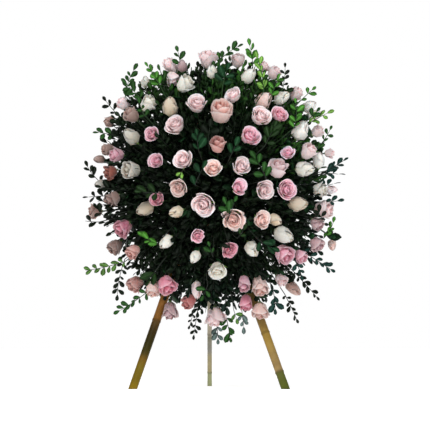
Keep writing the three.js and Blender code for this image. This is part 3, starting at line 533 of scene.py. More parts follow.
def thick_sheets(sheets, thickness):
    """Closes each sheet with an inner side that meets it along the edge: points and faces."""
    rows, columns = sheets.shape[1:3]
    along = np.gradient(sheets, axis=2)
    upward = np.gradient(sheets, axis=1)
    outward = unit(np.cross(along, upward))
    inner = (sheets - outward * thickness)[:, 1:-1, 1:-1].reshape(len(sheets), -1, 3)
    points = np.concatenate([sheets.reshape(len(sheets), -1, 3), inner], axis=1)
    front = np.arange(rows * columns).reshape(rows, columns)
    back = front.copy()
    back[1:-1, 1:-1] = rows * columns + np.arange((rows - 2) * (columns - 2)).reshape(rows - 2, columns - 2)
    faces = []
    for i in range(rows - 1):
        for k in range(columns - 1):
            faces.append((front[i, k], front[i, k + 1], front[i + 1, k + 1], front[i + 1, k]))
            faces.append((back[i, k], back[i + 1, k], back[i + 1, k + 1], back[i, k + 1]))
    return points, np.array(faces)


# %% [markdown]
# A rose petal is a soft matt sheet: light scatters in it, its foot is creamy or green, and its
# colour deepens towards the heart of the bloom, partly its own and partly as painted shade in the
# gaps, while the rolled lips are palest. So each point gets a colour mixed from five of its kind,
# with painted light and shade by form and by bloom, and the shader only adds fine veins and a
# velvet sheen.

# %% The colours and the petal material
# heart, middle, guard, lip and foot of each kind of rose. Pale is a white painted lighter, as painted
# light on buds turned from the key light. Salmon is a peach darkened as painted shade, and the last
# four kinds are painted shade too: pink, blush, white and peach darkened for blooms in shade.
PETAL_COLOURS = {
    "blush": ("#e8b2b4", "#f2d1d3", "#f5dfe1", "#faeeef", "#e6dcc0"),
    "pink": ("#cf5c82", "#e59cb2", "#efbccb", "#f7dde5", "#e0bfae"),
    "rosy": ("#cc2d61", "#df7699", "#f1bfce", "#fadfe7", "#e0b4a6"),
    "deep": ("#b02a50", "#cf5f80", "#dc8ba0", "#f0c4d0", "#cf9f90"),
    "white": ("#e0d5b8", "#e4dfd1", "#e6e4dd", "#f1f0ec", "#cdcd9c"),
    "pale": ("#efe0da", "#f7f0ea", "#fbf5ee", "#fdfbf8", "#dcdfc0"),
    "cream": ("#ccab82", "#d3bda0", "#d9ccb9", "#e6dccd", "#bcbb80"),
    "peach": ("#e39a8b", "#f0c6be", "#f5d8d2", "#fae9e4", "#ead3aa"),
    "salmon": ("#ab5650", "#d08c84", "#daa29a", "#eccac3", "#c0a280"),
    "coral": ("#9a3538", "#b85759", "#c06a69", "#d69a96", "#a47a64"),
    "mauve": ("#93566a", "#bd8d9a", "#caa6aa", "#e4d0d0", "#b4ae90"),
    "dusty": ("#7b504a", "#a07a70", "#aa8b81", "#cab5ad", "#8c8366"),
    "shaded": ("#a99f86", "#b9b3a5", "#c0bdb4", "#dcdad5", "#a4aa7c"),
    "rust": ("#5c2620", "#813c32", "#8f4d40", "#a86c5c", "#6d6a42"),
}
# Painted light and shade by form: open blooms are painted lighter, which lifts the shade in their
# creases, and half-open blooms and buds, seen from the side, are painted darker, as painted shade
PAINTED_LIGHT_BY_FORM = {"open": 1.06, "half": 0.82, "bud": 0.8}
# How far the lower part of a petal takes the heart's deeper colour, which fills the gaps of a bloom:
# partly the rose's own deeper heart and partly painted shade in the gaps
HEART_TONE_AND_GAP_SHADE = {"open": 0.75, "half": 0.4, "bud": 0.3}
# How pale the innermost lips are, as a share of the outermost
PALEST_LIP = {"open": 0.65, "half": 0.35, "bud": 0.35}


def blend_colours(colours, part):
    """Colours drawn between a row of them, for parts from 0 to 1."""
    colours = np.array(colours)
    # Just under 1, so that there is always a next colour
    place = np.clip(part, 0, 0.9999) * (len(colours) - 1)
    low = place.astype(int)
    share = (place - low)[..., None]
    return colours[low] * (1 - share) + colours[low + 1] * share


def tinted_skin(tree, shader, scale, detail, shades, strength, depth=0.0005):
    """Shows each point's tint, mottled by a fine pattern that also gives a low relief, in metres."""
    tint = add(tree, "ShaderNodeAttribute", attribute_name="tint", attribute_type="GEOMETRY")
    place = add(tree, "ShaderNodeTexCoord")
    pattern = add(tree, "ShaderNodeTexNoise", {"Vector": place.outputs["Object"], "Scale": scale,
                                               "Detail": detail})
    shade = add(tree, "ShaderNodeMapRange", {0: pattern.outputs["Fac"], 1: 0.3, 2: 0.7,
                                             3: shades[0], 4: shades[1]})
    skin = add(tree, "ShaderNodeHueSaturation", {"Value": shade.outputs[0], "Color": tint.outputs["Color"]})
    relief = add(tree, "ShaderNodeBump", {"Strength": strength, "Distance": depth,
                                          "Height": pattern.outputs["Fac"]})
    tree.links.new(skin.outputs["Color"], shader.inputs["Base Color"])
    tree.links.new(relief.outputs["Normal"], shader.inputs["Normal"])
    return skin


# Fresh rose petal: velvety, slightly see-through, with pores far too fine to show, drawn as veins
petal_skin, tree, shader = finish_of(
    "rose petal", Roughness=0.55, IOR=1.4, Subsurface_Weight=0.5, Subsurface_Scale=0.002,
    Sheen_Weight=0.25, Sheen_Roughness=0.5)
shader.inputs["Subsurface Radius"].default_value = (1.0, 0.7, 0.6)
tinted_skin(tree, shader, scale=260.0, detail=3.0, shades=(0.93, 1.06), strength=0.15, depth=0.0006)
print(len(PETAL_COLOURS), "kinds of rose")

# %% Make each bunch's blooms
draw = np.random.default_rng(7)


def turn_to(axis):
    """A frame whose z is the bloom's axis, as columns."""
    side = unit(np.cross([0.0, 0.0, 1.0], axis))
    return np.stack([side, np.cross(axis, side), axis], axis=1)


def petal_sheets(rose, count, stage):
    """The petals of a bloom of radius 1. Their stage runs from 0 at the heart to 1 at the guard."""
    shape = BLOOMS[rose["form"]]
    keys = np.array([shape["heart"], shape["middle"], shape["guard"]])
    low = np.minimum((stage * 2).astype(int), 1)
    part = (stage * 2 - low)[:, None, None]
    control = keys[low] * (1 - part) + keys[low + 1] * part
    looseness = (0.25 + stage)[:, None, None] * LOOSENESS[rose["form"]]
    control[:, 2:] += draw.normal(0, JITTER["lip"], (count, 1, 2)) * looseness
    control[..., 1] *= rose["length"]
    control[:, 1:, 0] *= 1 + draw.normal(0, JITTER["width"], (count, 1))
    span = np.interp(stage, [0, 0.5, 1], shape["span"]) * (1 + draw.normal(0, JITTER["span"], count))
    curl = shape["curl"] * stage ** 1.5 * draw.uniform(0.4, 1.5, count)
    start = (np.arange(count) * GOLDEN_ANGLE + draw.normal(0, JITTER["turn"], count)
             + draw.uniform(0, NEARLY_A_TURN))
    return bent_sheets(control, start, span, curl, SWIRL * (1 - stage), shape["point"],
                       RUFFLE * LOOSENESS[rose["form"]], draw.uniform(0, NEARLY_A_TURN, count))


def petal_colours(rose, count, stage):
    """A colour for each point of the sheets, as (petal, up, across, rgb)."""
    heart, middle, guard, lip, foot = (np.array(linear(c)[:3]) for c in PETAL_COLOURS[rose["colour"]])
    form = rose["form"]
    warmth = draw.normal(0, 0.05)
    body = blend_colours([heart, middle, guard], np.clip(stage + warmth, 0, 1))[:, None, None, :]
    up = np.broadcast_to(UP[:, None], (len(UP), len(ACROSS)))[None, :, :, None]
    stage = stage[:, None, None, None]
    colours = body + (lip - body) * 0.8 * up ** 3 * (PALEST_LIP[form] + (1 - PALEST_LIP[form]) * stage)
    # The lower part of each petal takes the heart's colour: partly its own, partly painted shade in the gaps
    depth = HEART_TONE_AND_GAP_SHADE[form] * (1.15 - 0.6 * stage)
    colours = colours + (heart - colours) * depth * (1 - up) ** 0.7
    colours = colours + (foot - colours) * 0.7 * (1 - up) ** 4
    # The form's factor and the row's shade are painted light and painted shade on the colours
    return colours * draw.uniform(0.94, 1.05, (count, 1, 1, 1)) * PAINTED_LIGHT_BY_FORM[form] * rose["shade"]


def bloom(rose):
    """A bloom's points in plan millimetres, its faces and its colours."""
    share = min(1.0, FEWEST_PETALS + rose["radius"] / MM_FOR_MORE)
    count = int(round(BLOOMS[rose["form"]]["petals"] * share))
    stage = ((np.arange(count) + 0.5) / count) ** CROWDING[rose["form"]]
    points, faces = thick_sheets(petal_sheets(rose, count, stage), PETAL_THICKNESS / rose["radius"])
    colours = petal_colours(rose, count, stage)
    inner = colours[:, 1:-1, 1:-1].reshape(count, -1, 3)
    colours = np.concatenate([colours.reshape(count, -1, 3), inner], axis=1).reshape(-1, 3)
    whole = points.reshape(-1, 3) * rose["radius"] * FULLNESS @ turn_to(rose["axis"]).T + rose["middle"]
    steps = np.arange(count)[:, None, None] * points.shape[1]
    return whole, (faces[None] + steps).reshape(-1, 4), colours


def paint(made, colours):
    """Stores a colour for each point, which the material reads as its tint."""
    attribute = made.data.attributes.new("tint", "FLOAT_COLOR", "POINT")
    full = np.concatenate([np.clip(colours, 0, 1), np.ones((len(colours), 1))], axis=1)
    attribute.data.foreach_set("color", full.astype(np.float32).ravel())


def crisp_lips(made, crisp):
    """Keeps the two sides apart in shading where a point is crisp, so that no rolled lip is drawn."""
    rows, columns = len(UP), len(ACROSS)
    edge = np.ones((rows, columns), bool)
    edge[1:-1, 1:-1] = False
    edge = np.concatenate([edge.ravel(), np.zeros((rows - 2) * (columns - 2), bool)])
    ends = np.zeros(2 * len(made.data.edges), int)
    made.data.edges.foreach_get("vertices", ends)
    sharp = (edge[ends % len(edge)] & crisp[ends]).reshape(-1, 2).all(axis=1)
    made.data.edges.foreach_set("use_edge_sharp", sharp)


def joined(parts):
    """Several (points, faces, colours) as one."""
    starts = np.cumsum([0] + [len(p[0]) for p in parts[:-1]])
    return (np.concatenate([p[0] for p in parts]),
            np.concatenate([p[1] + s for p, s in zip(parts, starts)]),
            np.concatenate([p[2] for p in parts]))


petal_faces = 0
for node, members in sorted(bunches.items()):
    blooms = [bloom(rose) for rose in members]
    points, faces, colours = joined(blooms)
    piece = mesh_object(node.replace("roses_", "blooms_"), to_model(points), faces, petal_skin)
    paint(piece, colours)
    crisp = [rose["form"] != "open" for rose in members]
    crisp_lips(piece, np.repeat(crisp, [len(made[0]) for made in blooms]))
    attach(piece, "root")
    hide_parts(node)
    kinds = [rose["colour"] for rose in members for _ in range(round(rose["radius"]))]
    petal_faces += len(faces)
print(petal_faces, "petal faces on", len(roses), "roses")

# %% [markdown]
# Leaves and stems repeat by the thousand, so Geometry Nodes make them. The script only lays out a
# skeleton: edges for the stems, and loose points for the leaves, each with a way to point, a side
# to show, a size and a colour. One tree then sweeps a round profile along the edges and sets a
# copy of one small leaf on each loose point.

# %% One leaf, one long
LEAF_ROWS = ((0.0, 0.0), (0.26, 0.30), (0.56, 0.50), (0.82, 0.42), (1.0, 0.0))


def leaf_master(name, rows, width, arch, fold, thickness, material):
    """A thin closed leaf along +Y with its upper side to +Z. Its rows are [place, share of width]."""
    points = []
    for place, share in rows:
        rise = arch * math.sin(place * math.pi * 0.9) - arch * 0.5 * place ** 2
        half = share * width
        if half == 0:
            points.append((0, place, rise))
        else:
            points += [(-half, place, rise), (half, place, rise),
                       (0, place, rise - fold * share), (0, place, rise - fold * share - thickness)]
    faces = [(0, 3, 1), (0, 2, 3), (0, 1, 4), (0, 4, 2)]
    for k in range(len(rows) - 3):
        a, b = 1 + 4 * k, 5 + 4 * k
        faces += [(a, a + 2, b + 2, b), (a + 2, a + 1, b + 1, b + 2)]
        faces += [(a, b, b + 3, a + 3), (a + 3, b + 3, b + 1, a + 1)]
    a, tip = 1 + 4 * (len(rows) - 3), len(points) - 1
    faces += [(a, a + 2, tip), (a + 2, a + 1, tip), (a, tip, a + 3), (a + 3, tip, a + 1)]
    made = mesh_object(name, points, faces, material)
    layer = made.data.uv_layers.new(name="leaf map")
    for loop in made.data.loops:
        point = points[loop.vertex_index]
        layer.data[loop.index].uv = (0.5 + point[0] / width * 0.5, point[1])
    return made


# Small leathery evergreen leaf: a thin wax with little shine, a pale midrib and blotchy green
leaf_skin, tree, shader = finish_of(
    "waxy leaf", Roughness=0.5, IOR=1.45, Specular_IOR_Level=0.14)
flesh = tinted_skin(tree, shader, scale=180.0, detail=2.0, shades=(0.8, 1.22), strength=0.25)
leaf_map = add(tree, "ShaderNodeUVMap", uv_map="leaf map")
sides = add(tree, "ShaderNodeSeparateXYZ", {0: leaf_map.outputs["UV"]})
from_rib = add(tree, "ShaderNodeMath", {0: sides.outputs["X"], 1: 0.5}, operation="SUBTRACT")
how_far = add(tree, "ShaderNodeMath", {0: from_rib.outputs[0]}, operation="ABSOLUTE")
rib = add(tree, "ShaderNodeMapRange", {0: how_far.outputs[0], 1: 0.0, 2: 0.045, 3: 0.7, 4: 0.0})
paler = add(tree, "ShaderNodeHueSaturation", {"Value": 1.9, "Saturation": 0.85,
                                              "Color": flesh.outputs["Color"]})
ribbed = add(tree, "ShaderNodeMix", {0: rib.outputs[0], 6: flesh.outputs["Color"],
                                     7: paler.outputs["Color"]}, data_type="RGBA")
tree.links.new(ribbed.outputs[2], shader.inputs["Base Color"])

# Green stem bark: matt and mottled
stem_skin, tree, shader = finish_of("green stem", Roughness=0.6, IOR=1.45)
tinted_skin(tree, shader, scale=140.0, detail=3.0, shades=(0.8, 1.15), strength=0.2)

leaf_shape = leaf_master("leaf shape", LEAF_ROWS, width=0.54, arch=0.07, fold=0.07, thickness=0.02,
                         material=leaf_skin)
print("one leaf:", len(leaf_shape.data.polygons), "faces")


# %% The tree that grows stems and leaves on a skeleton
def group_input(tree, name, kind, default=None):
    """A named input of the tree: its identifier is what the modifier is set by."""
    socket = tree.interface.new_socket(name=name, in_out="INPUT", socket_type=kind)
    if default is not None:
        socket.default_value = default
    return socket.identifier


grow = bpy.data.node_groups.new("grow stems and leaves", "GeometryNodeTree")
group_input(grow, "Skeleton", "NodeSocketGeometry")
LEAF_INPUT = group_input(grow, "Leaf shape", "NodeSocketObject")
SIDES_INPUT = group_input(grow, "Stem sides", "NodeSocketInt", 5)
group_input(grow, "Stem thickness", "NodeSocketFloat", 1.0)
group_input(grow, "Leaf size", "NodeSocketFloat", 1.0)
group_input(grow, "Leaf wobble", "NodeSocketFloat", 0.12)
SEED_INPUT = group_input(grow, "Seed", "NodeSocketInt", 5)
grow.interface.new_socket(name="Plant", in_out="OUTPUT", socket_type="NodeSocketGeometry")
given = add(grow, "NodeGroupInput")
stems = add(grow, "GeometryNodeMeshToCurve", {"Mesh": given.outputs["Skeleton"]})
stored = {}
for label, kind in (("thick", "FLOAT"), ("size", "FLOAT"), ("is_leaf", "BOOLEAN"),
                    ("way", "FLOAT_VECTOR"), ("face", "FLOAT_VECTOR")):
    named = add(grow, "GeometryNodeInputNamedAttribute", {"Name": label}, data_type=kind)
    stored[label] = named.outputs["Attribute"]
scaled = add(grow, "ShaderNodeMath", {0: stored["thick"], 1: given.outputs["Stem thickness"]},
             operation="MULTIPLY")
round_profile = add(grow, "GeometryNodeCurvePrimitiveCircle", {"Resolution": given.outputs["Stem sides"],
                                                              "Radius": 1.0})
swept = add(grow, "GeometryNodeCurveToMesh", {"Curve": stems.outputs["Curve"], "Scale": scaled.outputs[0],
                                              "Profile Curve": round_profile.outputs["Curve"],
                                              "Fill Caps": True})
barked = add(grow, "GeometryNodeSetMaterial", {"Geometry": swept.outputs["Mesh"], "Material": stem_skin})
shape = add(grow, "GeometryNodeObjectInfo", {"Object": given.outputs["Leaf shape"]})
turned = add(grow, "FunctionNodeAxesToRotation", {"Primary Axis": stored["way"],
                                                  "Secondary Axis": stored["face"]},
             primary_axis="Y", secondary_axis="Z")
low = add(grow, "ShaderNodeMath", {0: given.outputs["Leaf wobble"], 1: -1.0}, operation="MULTIPLY")
wobble = add(grow, "FunctionNodeRandomValue", {0: low.outputs[0], 1: given.outputs["Leaf wobble"],
                                               "Seed": given.outputs["Seed"]}, data_type="FLOAT_VECTOR")
nudged = add(grow, "FunctionNodeRotateRotation", {"Rotation": turned.outputs["Rotation"],
                                                  "Rotate By": wobble.outputs[0]}, rotation_space="LOCAL")
grown = add(grow, "ShaderNodeMath", {0: stored["size"], 1: given.outputs["Leaf size"]},
            operation="MULTIPLY")
leaves = add(grow, "GeometryNodeInstanceOnPoints", {
    "Points": given.outputs["Skeleton"], "Selection": stored["is_leaf"],
    "Instance": shape.outputs["Geometry"], "Rotation": nudged.outputs["Rotation"],
    "Scale": grown.outputs[0]})
real = add(grow, "GeometryNodeRealizeInstances", {"Geometry": leaves.outputs["Instances"]})
waxed = add(grow, "GeometryNodeSetMaterial", {"Geometry": real.outputs["Geometry"], "Material": leaf_skin})
together = add(grow, "GeometryNodeJoinGeometry")
for part in (barked, waxed):
    grow.links.new(part.outputs["Geometry"], together.inputs["Geometry"])
plant = add(grow, "NodeGroupOutput")
grow.links.new(together.outputs["Geometry"], plant.inputs["Plant"])
print("the growing tree has", len(grow.nodes), "nodes")


class Skeleton:
    """Collects stems and leaves in plan millimetres, then grows them into one plain mesh."""

    def __init__(self):
        self.points, self.edges, self.thick, self.tints = [], [], [], []
        self.ways, self.faces, self.sizes, self.leafy = [], [], [], []

    def point(self, place, tint, thick=0.0, way=(0, 1, 0), face=(0, 0, 1), size=0.0, leafy=False):
        self.points.append(place)
        self.tints.append((*tint[:3], 1.0))
        self.thick.append(thick)
        self.ways.append(way)
        self.faces.append(face)
        self.sizes.append(size)
        self.leafy.append(leafy)

    def stem(self, line, radii, tint):
        """A stem along a line. Its radii are spread evenly from its start to its end."""
        first = len(self.points)
        for k, place in enumerate(line):
            part = k / (len(line) - 1) * (len(radii) - 1)
            self.point(place, tint, np.interp(part, range(len(radii)), radii))
        self.edges += [(first + k, first + k + 1) for k in range(len(line) - 1)]

    def leaf(self, place, way, face, size, tint):
        self.point(place, tint, way=way, face=face, size=size, leafy=True)

    def as_piece(self, name, leaf, sides, seed):
        """Grows everything into one piece, with copies of one leaf and stems of so many sides."""
        mesh = bpy.data.meshes.new(name)
        mesh.from_pydata([tuple(p) for p in to_model(self.points)], self.edges, [])
        for label, kind, field, values in (
                ("thick", "FLOAT", "value", np.array(self.thick) * MM),
                ("size", "FLOAT", "value", np.array(self.sizes) * MM),
                ("is_leaf", "BOOLEAN", "value", self.leafy),
                ("way", "FLOAT_VECTOR", "vector", self.ways),
                ("face", "FLOAT_VECTOR", "vector", self.faces),
                ("tint", "FLOAT_COLOR", "color", self.tints)):
            mesh.attributes.new(label, kind, "POINT").data.foreach_set(field, np.ravel(values))
        return made_by(grow, name, mesh, {LEAF_INPUT: leaf, SIDES_INPUT: sides, SEED_INPUT: seed})


def made_by(tree, name, mesh, inputs):
    """Runs a tree on a mesh, with inputs by their identifiers, and keeps the result as a plain mesh."""
    source = put(name + " skeleton", mesh)
    modifier = source.modifiers.new(tree.name, "NODES")
    modifier.node_group = tree
    for identifier, value in inputs.items():
        modifier[identifier] = value
    bpy.context.view_layer.update()
    graph = bpy.context.evaluated_depsgraph_get()
    made = bpy.data.meshes.new_from_object(source.evaluated_get(graph), depsgraph=graph)
    made.polygons.foreach_set("use_smooth", [True] * len(made.polygons))
    bpy.data.objects.remove(source)
    return put(name, made)


# %% [markdown]
# Every stem starts in the foam, in front of the tray's rim, and runs out on one gentle curve. It
# must miss the canes and the other blooms. The script tries the straight way first and then
# curves that bow out to all sides in turn, further and further. It takes the first clear one, or
# else the one that is least in the way.

# %% Where stems run
# The place that all stems point away from, this far behind the foam's front
HEART_DEPTH = 24
HEART = from_holder([0, FOAM_LOW[1] + HEART_DEPTH, 0])
RIM_CLEARANCE = 7.0
# How deep a stem is pushed in, how far from the heart it stays, and how far out its curve begins
ROOT_DEPTH = 28.0
HEART_SPARE = 2.0
MOUTH_OUT = 4.0
# What counts as a bloom's and a cane's own room, as a share of the radius
BLOOM_ROOM = 0.97
CANE_ROOM = 1.12
# How far the first bow goes out, in millimetres. The others grow with the root of their number.
BOW_STEP = 9
# The lengths of a curve's two handles, as shares of the way from the foam to its tip
LEAVE_SHARE = 0.35
ARRIVE_SHARE = 0.3
TINY = 1e-6
BLOOM_PLACES = np.array([rose["middle"] for rose in roses])
BLOOM_SIZES = np.array([rose["radius"] for rose in roses])
CANE_STARTS = np.array([on_cane(c, 0) for c in CANES.values()])
CANE_ENDS = np.array([on_cane(c, c["top"]) for c in CANES.values()])
CANE_SIZES = np.array([c["radius"] for c in CANES.values()])


def root_toward(target):
    """The buried end and the mouth of a stem that heads for the target."""
    start = to_holder(HEART)
    way = to_holder(target) - start
    to_side = min(FOAM_HIGH[0] / max(abs(way[0]), TINY), FOAM_HIGH[2] / max(abs(way[2]), TINY))
    way[1] = min(way[1], (-TRAY_DEPTH - RIM_CLEARANCE - start[1]) / to_side)
    way = unit(way)
    sides = np.where(way > 0, FOAM_HIGH, FOAM_LOW)
    moving = np.abs(way) > TINY
    reach = min((sides - start)[moving] / way[moving])
    depth = min(ROOT_DEPTH, reach - HEART_SPARE)
    return from_holder(start + way * (reach - depth)), from_holder(start + way * (reach + MOUTH_OUT))


def overlap_of(points, radius, own=None):
    """How deep points lie in blooms and canes, in mm, summed. A stem's own bloom doesn't count."""
    far = np.linalg.norm(points[:, None] - BLOOM_PLACES[None], axis=2)
    short = np.maximum(BLOOM_SIZES * BLOOM_ROOM + radius - far, 0)
    if own is not None:
        short[:, own] = 0
    way = CANE_ENDS - CANE_STARTS
    part = np.clip(np.einsum("nkc,kc->nk", points[:, None] - CANE_STARTS, way) / (way ** 2).sum(1), 0, 1)
    nearest = CANE_STARTS + part[..., None] * way
    off_cane = np.linalg.norm(points[:, None] - nearest, axis=2)
    in_cane = np.maximum(CANE_SIZES * CANE_ROOM + radius - off_cane, 0)
    return short.sum() + in_cane.sum()


def clear_curve(tip, arrive, radius, own=None, tries=40, count=9):
    """Points of a curve from the foam to a tip, past what lies between."""
    root, mouth = root_toward(tip)
    reach = np.linalg.norm(tip - mouth)
    leave = unit(mouth - root)
    side = unit(np.cross(leave, [0.1, 0.3, 1.0]))
    other = np.cross(leave, side)
    weights = curve_weights(np.linspace(0, 1, count)[:, None])
    best = None
    for k in range(tries):
        around = k * GOLDEN_ANGLE
        bow = BOW_STEP * math.sqrt(k) * (side * math.cos(around) + other * math.sin(around))
        first = mouth + leave * reach * LEAVE_SHARE + bow
        second = tip - arrive * reach * ARRIVE_SHARE + bow
        line = weights[0] * mouth + weights[1] * first + weights[2] * second + weights[3] * tip
        deep = overlap_of(line[1:], radius, own)
        if best is None or deep < best[0]:
            best = (deep, line)
        if deep == 0:
            break
    return np.concatenate([[root], best[1]])


print("the stems point away from", HEART.round(1), "on the plan")

# %% [markdown]
# Under each bloom sit the swollen hip and five narrow green sepals, which show on the buds and on
# roses seen from the side. Florists leave a few of the rose's own leaves below the bloom. They
# are broader and toothed in life, and about half as long again as the small greenery's.

# %% Rose stems, hips, sepals and their own leaves
ROSE_STEM_RADIUS = 2.6
ROSE_STEM_GREEN = linear("#1f3315")
ROSE_LEAF_GREENS = [linear(c) for c in ("#0a160a", "#0e2412", "#173a1e")]
ROSE_LEAF_LENGTHS = (34, 48)
# How far down its last stretch a stem bears leaves, and how much they point along the stem
ROSE_LEAF_PLACES = (0.25, 0.95)
ROSE_LEAF_LEANS = (0.3, 0.9)
HIP_GREEN = linear("#5d7a3a")
# The hip's four rings: heights above the bloom's foot as shares of the bloom's radius, the lowest
# one's own radius in millimetres, and the others' as shares
HIP_HEIGHTS = (-0.16, -0.04, 0.08, 0.2)
HIP_NECK = 2.2
HIP_WIDTHS = (0.17, 0.22, 0.16)
SEPALS = 5
SEPAL_GREEN = linear("#5f7f3c")
SEPAL_SPREADS = {"open": 1.6, "half": 1.0, "bud": 0.55}
# A sepal's seat, along the axis and out from the bloom's foot, and its length, as shares of the radius
SEAT_UP = 0.08
SEAT_OUT = 0.18
SEPAL_LENGTH = 0.85
rose_leaf = leaf_master("rose leaf shape", ((0.0, 0.0), (0.2, 0.62), (0.45, 1.0), (0.74, 0.72), (1.0, 0.0)),
                        width=0.31, arch=0.05, fold=0.06, thickness=0.018, material=leaf_skin)
sepal = leaf_master("sepal shape", ((0.0, 0.0), (0.15, 0.8), (0.4, 1.0), (0.7, 0.5), (1.0, 0.0)),
                    width=0.16, arch=-0.06, fold=-0.05, thickness=0.03, material=leaf_skin)
rose_stems, calyxes = Skeleton(), Skeleton()
for number, rose in enumerate(roses):
    axis, base, radius = rose["axis"], rose["base"], rose["radius"]
    straight = unit(base - root_toward(base)[1])
    line = clear_curve(base, unit(straight * 0.7 + axis * 0.5), ROSE_STEM_RADIUS, own=number)
    rose_stems.stem(line, (ROSE_STEM_RADIUS, ROSE_STEM_RADIUS * 0.85), ROSE_STEM_GREEN)
    hip = [base + axis * radius * height for height in HIP_HEIGHTS]
    calyxes.stem(hip, (HIP_NECK, *(radius * width for width in HIP_WIDTHS)), HIP_GREEN)
    frame_of = turn_to(axis)
    for k in range(SEPALS):
        angle = k * 2 * math.pi / SEPALS + number
        out = frame_of @ np.array([math.cos(angle), math.sin(angle), 0])
        seat = base + axis * radius * SEAT_UP + out * radius * SEAT_OUT
        way = unit(out * SEPAL_SPREADS[rose["form"]] + axis)
        calyxes.leaf(seat, way, -out, radius * SEPAL_LENGTH, SEPAL_GREEN)
    for green in ROSE_LEAF_GREENS:
        at = line[-1] + (line[-3] - line[-1]) * draw.uniform(*ROSE_LEAF_PLACES)
        roll = draw.uniform(0, 2 * math.pi)
        tangent = unit(line[-1] - line[-3])
        across = unit(np.cross(tangent, [math.cos(roll), 0.3, math.sin(roll)]))
        way = unit(across + tangent * draw.uniform(*ROSE_LEAF_LEANS))
        size = draw.uniform(*ROSE_LEAF_LENGTHS)
        if overlap_of(np.array([at + way * size * 0.5, at + way * size]), 1.0) == 0:
            rose_stems.leaf(at, way, unit(tangent + np.array([0, -0.3, 0.5])), size, green)
piece = rose_stems.as_piece("rose_stems", rose_leaf, sides=6, seed=11)
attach(piece, "root")
print("rose stems:", len(piece.data.polygons), "faces")
piece = calyxes.as_piece("rose_calyxes", sepal, sides=7, seed=12)
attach(piece, "root")
print("calyxes:", len(piece.data.polygons), "faces")

# %% [markdown]
# The greenery is a small-leaved evergreen: leaves about 26 mm long, wider towards the tip, in pairs
# up thin twigs. Hundreds of twigs fill the dome between the roses, with their tips just under the
# bloom's faces. Those deep inside are painted nearly black, as painted shade. A list of sprigs
# repeats the ones that stand out on the real one: bright tips at the top, which are partly painted
# light, a pale sprig low on the left, bluish ones on the right and below.

# %% The sprigs that stand out
BRANCHES = {
    "top_left": ((-201, 972, -20), (-252, 930, -10)),
    "top_middle_left": ((-111, 1027, 0), (-60, 1000, 30)),
    "top_middle": ((42, 1020, -10), (0, 1010, 20)),
    "top_middle_right": ((111, 1026, -30), (140, 1000, 20)),
    "top_right": ((210, 966, -20), (297, 894, -10)),
    "left_high": ((-333, 849, -20), (-360, 768, 0)),
    "left_middle": ((-380, 627, -40), (-386, 560, 0)),
    "left_low": ((-390, 498, -20), (-389, 363, -40), (-320, 430, 0)),
    "right_high": ((348, 765, -30), (384, 669, -20)),
    "right_middle": ((368, 561, -20), (374, 465, -10)),
    "right_low": ((355, 387, -30), (314, 303, -20), (290, 420, 0)),
    "bottom_right": ((240, 201, -30), (190, 235, 10), (130, 290, 10)),
    "bottom_middle": ((90, 180, -60), (39, 159, -40)),
    "bottom_left": ((-66, 160, -50), (-180, 210, -30), (-60, 275, 5)),
    "low_left": ((-284, 222, -30), (-300, 279, -60)),
    "front_upper": ((-54, 762, -250), (52, 765, -262)),
    "front_right": ((150, 708, -240), (246, 500, -180)),
    "front_left": ((-195, 440, -215), (-225, 600, -215)),
    "front_lower": ((-105, 348, -205), (72, 366, -215)),
    "back_left": ((-230, 780, 70), (-290, 560, 70), (-190, 670, 50)),
    "back_right": ((230, 780, 70), (290, 560, 70), (190, 670, 50)),
    "back_top": ((-60, 900, 70), (90, 900, 70)),
    "back_low": ((-190, 380, 60), (190, 380, 60), (-88, 428, 66), (88, 428, 66)),
}
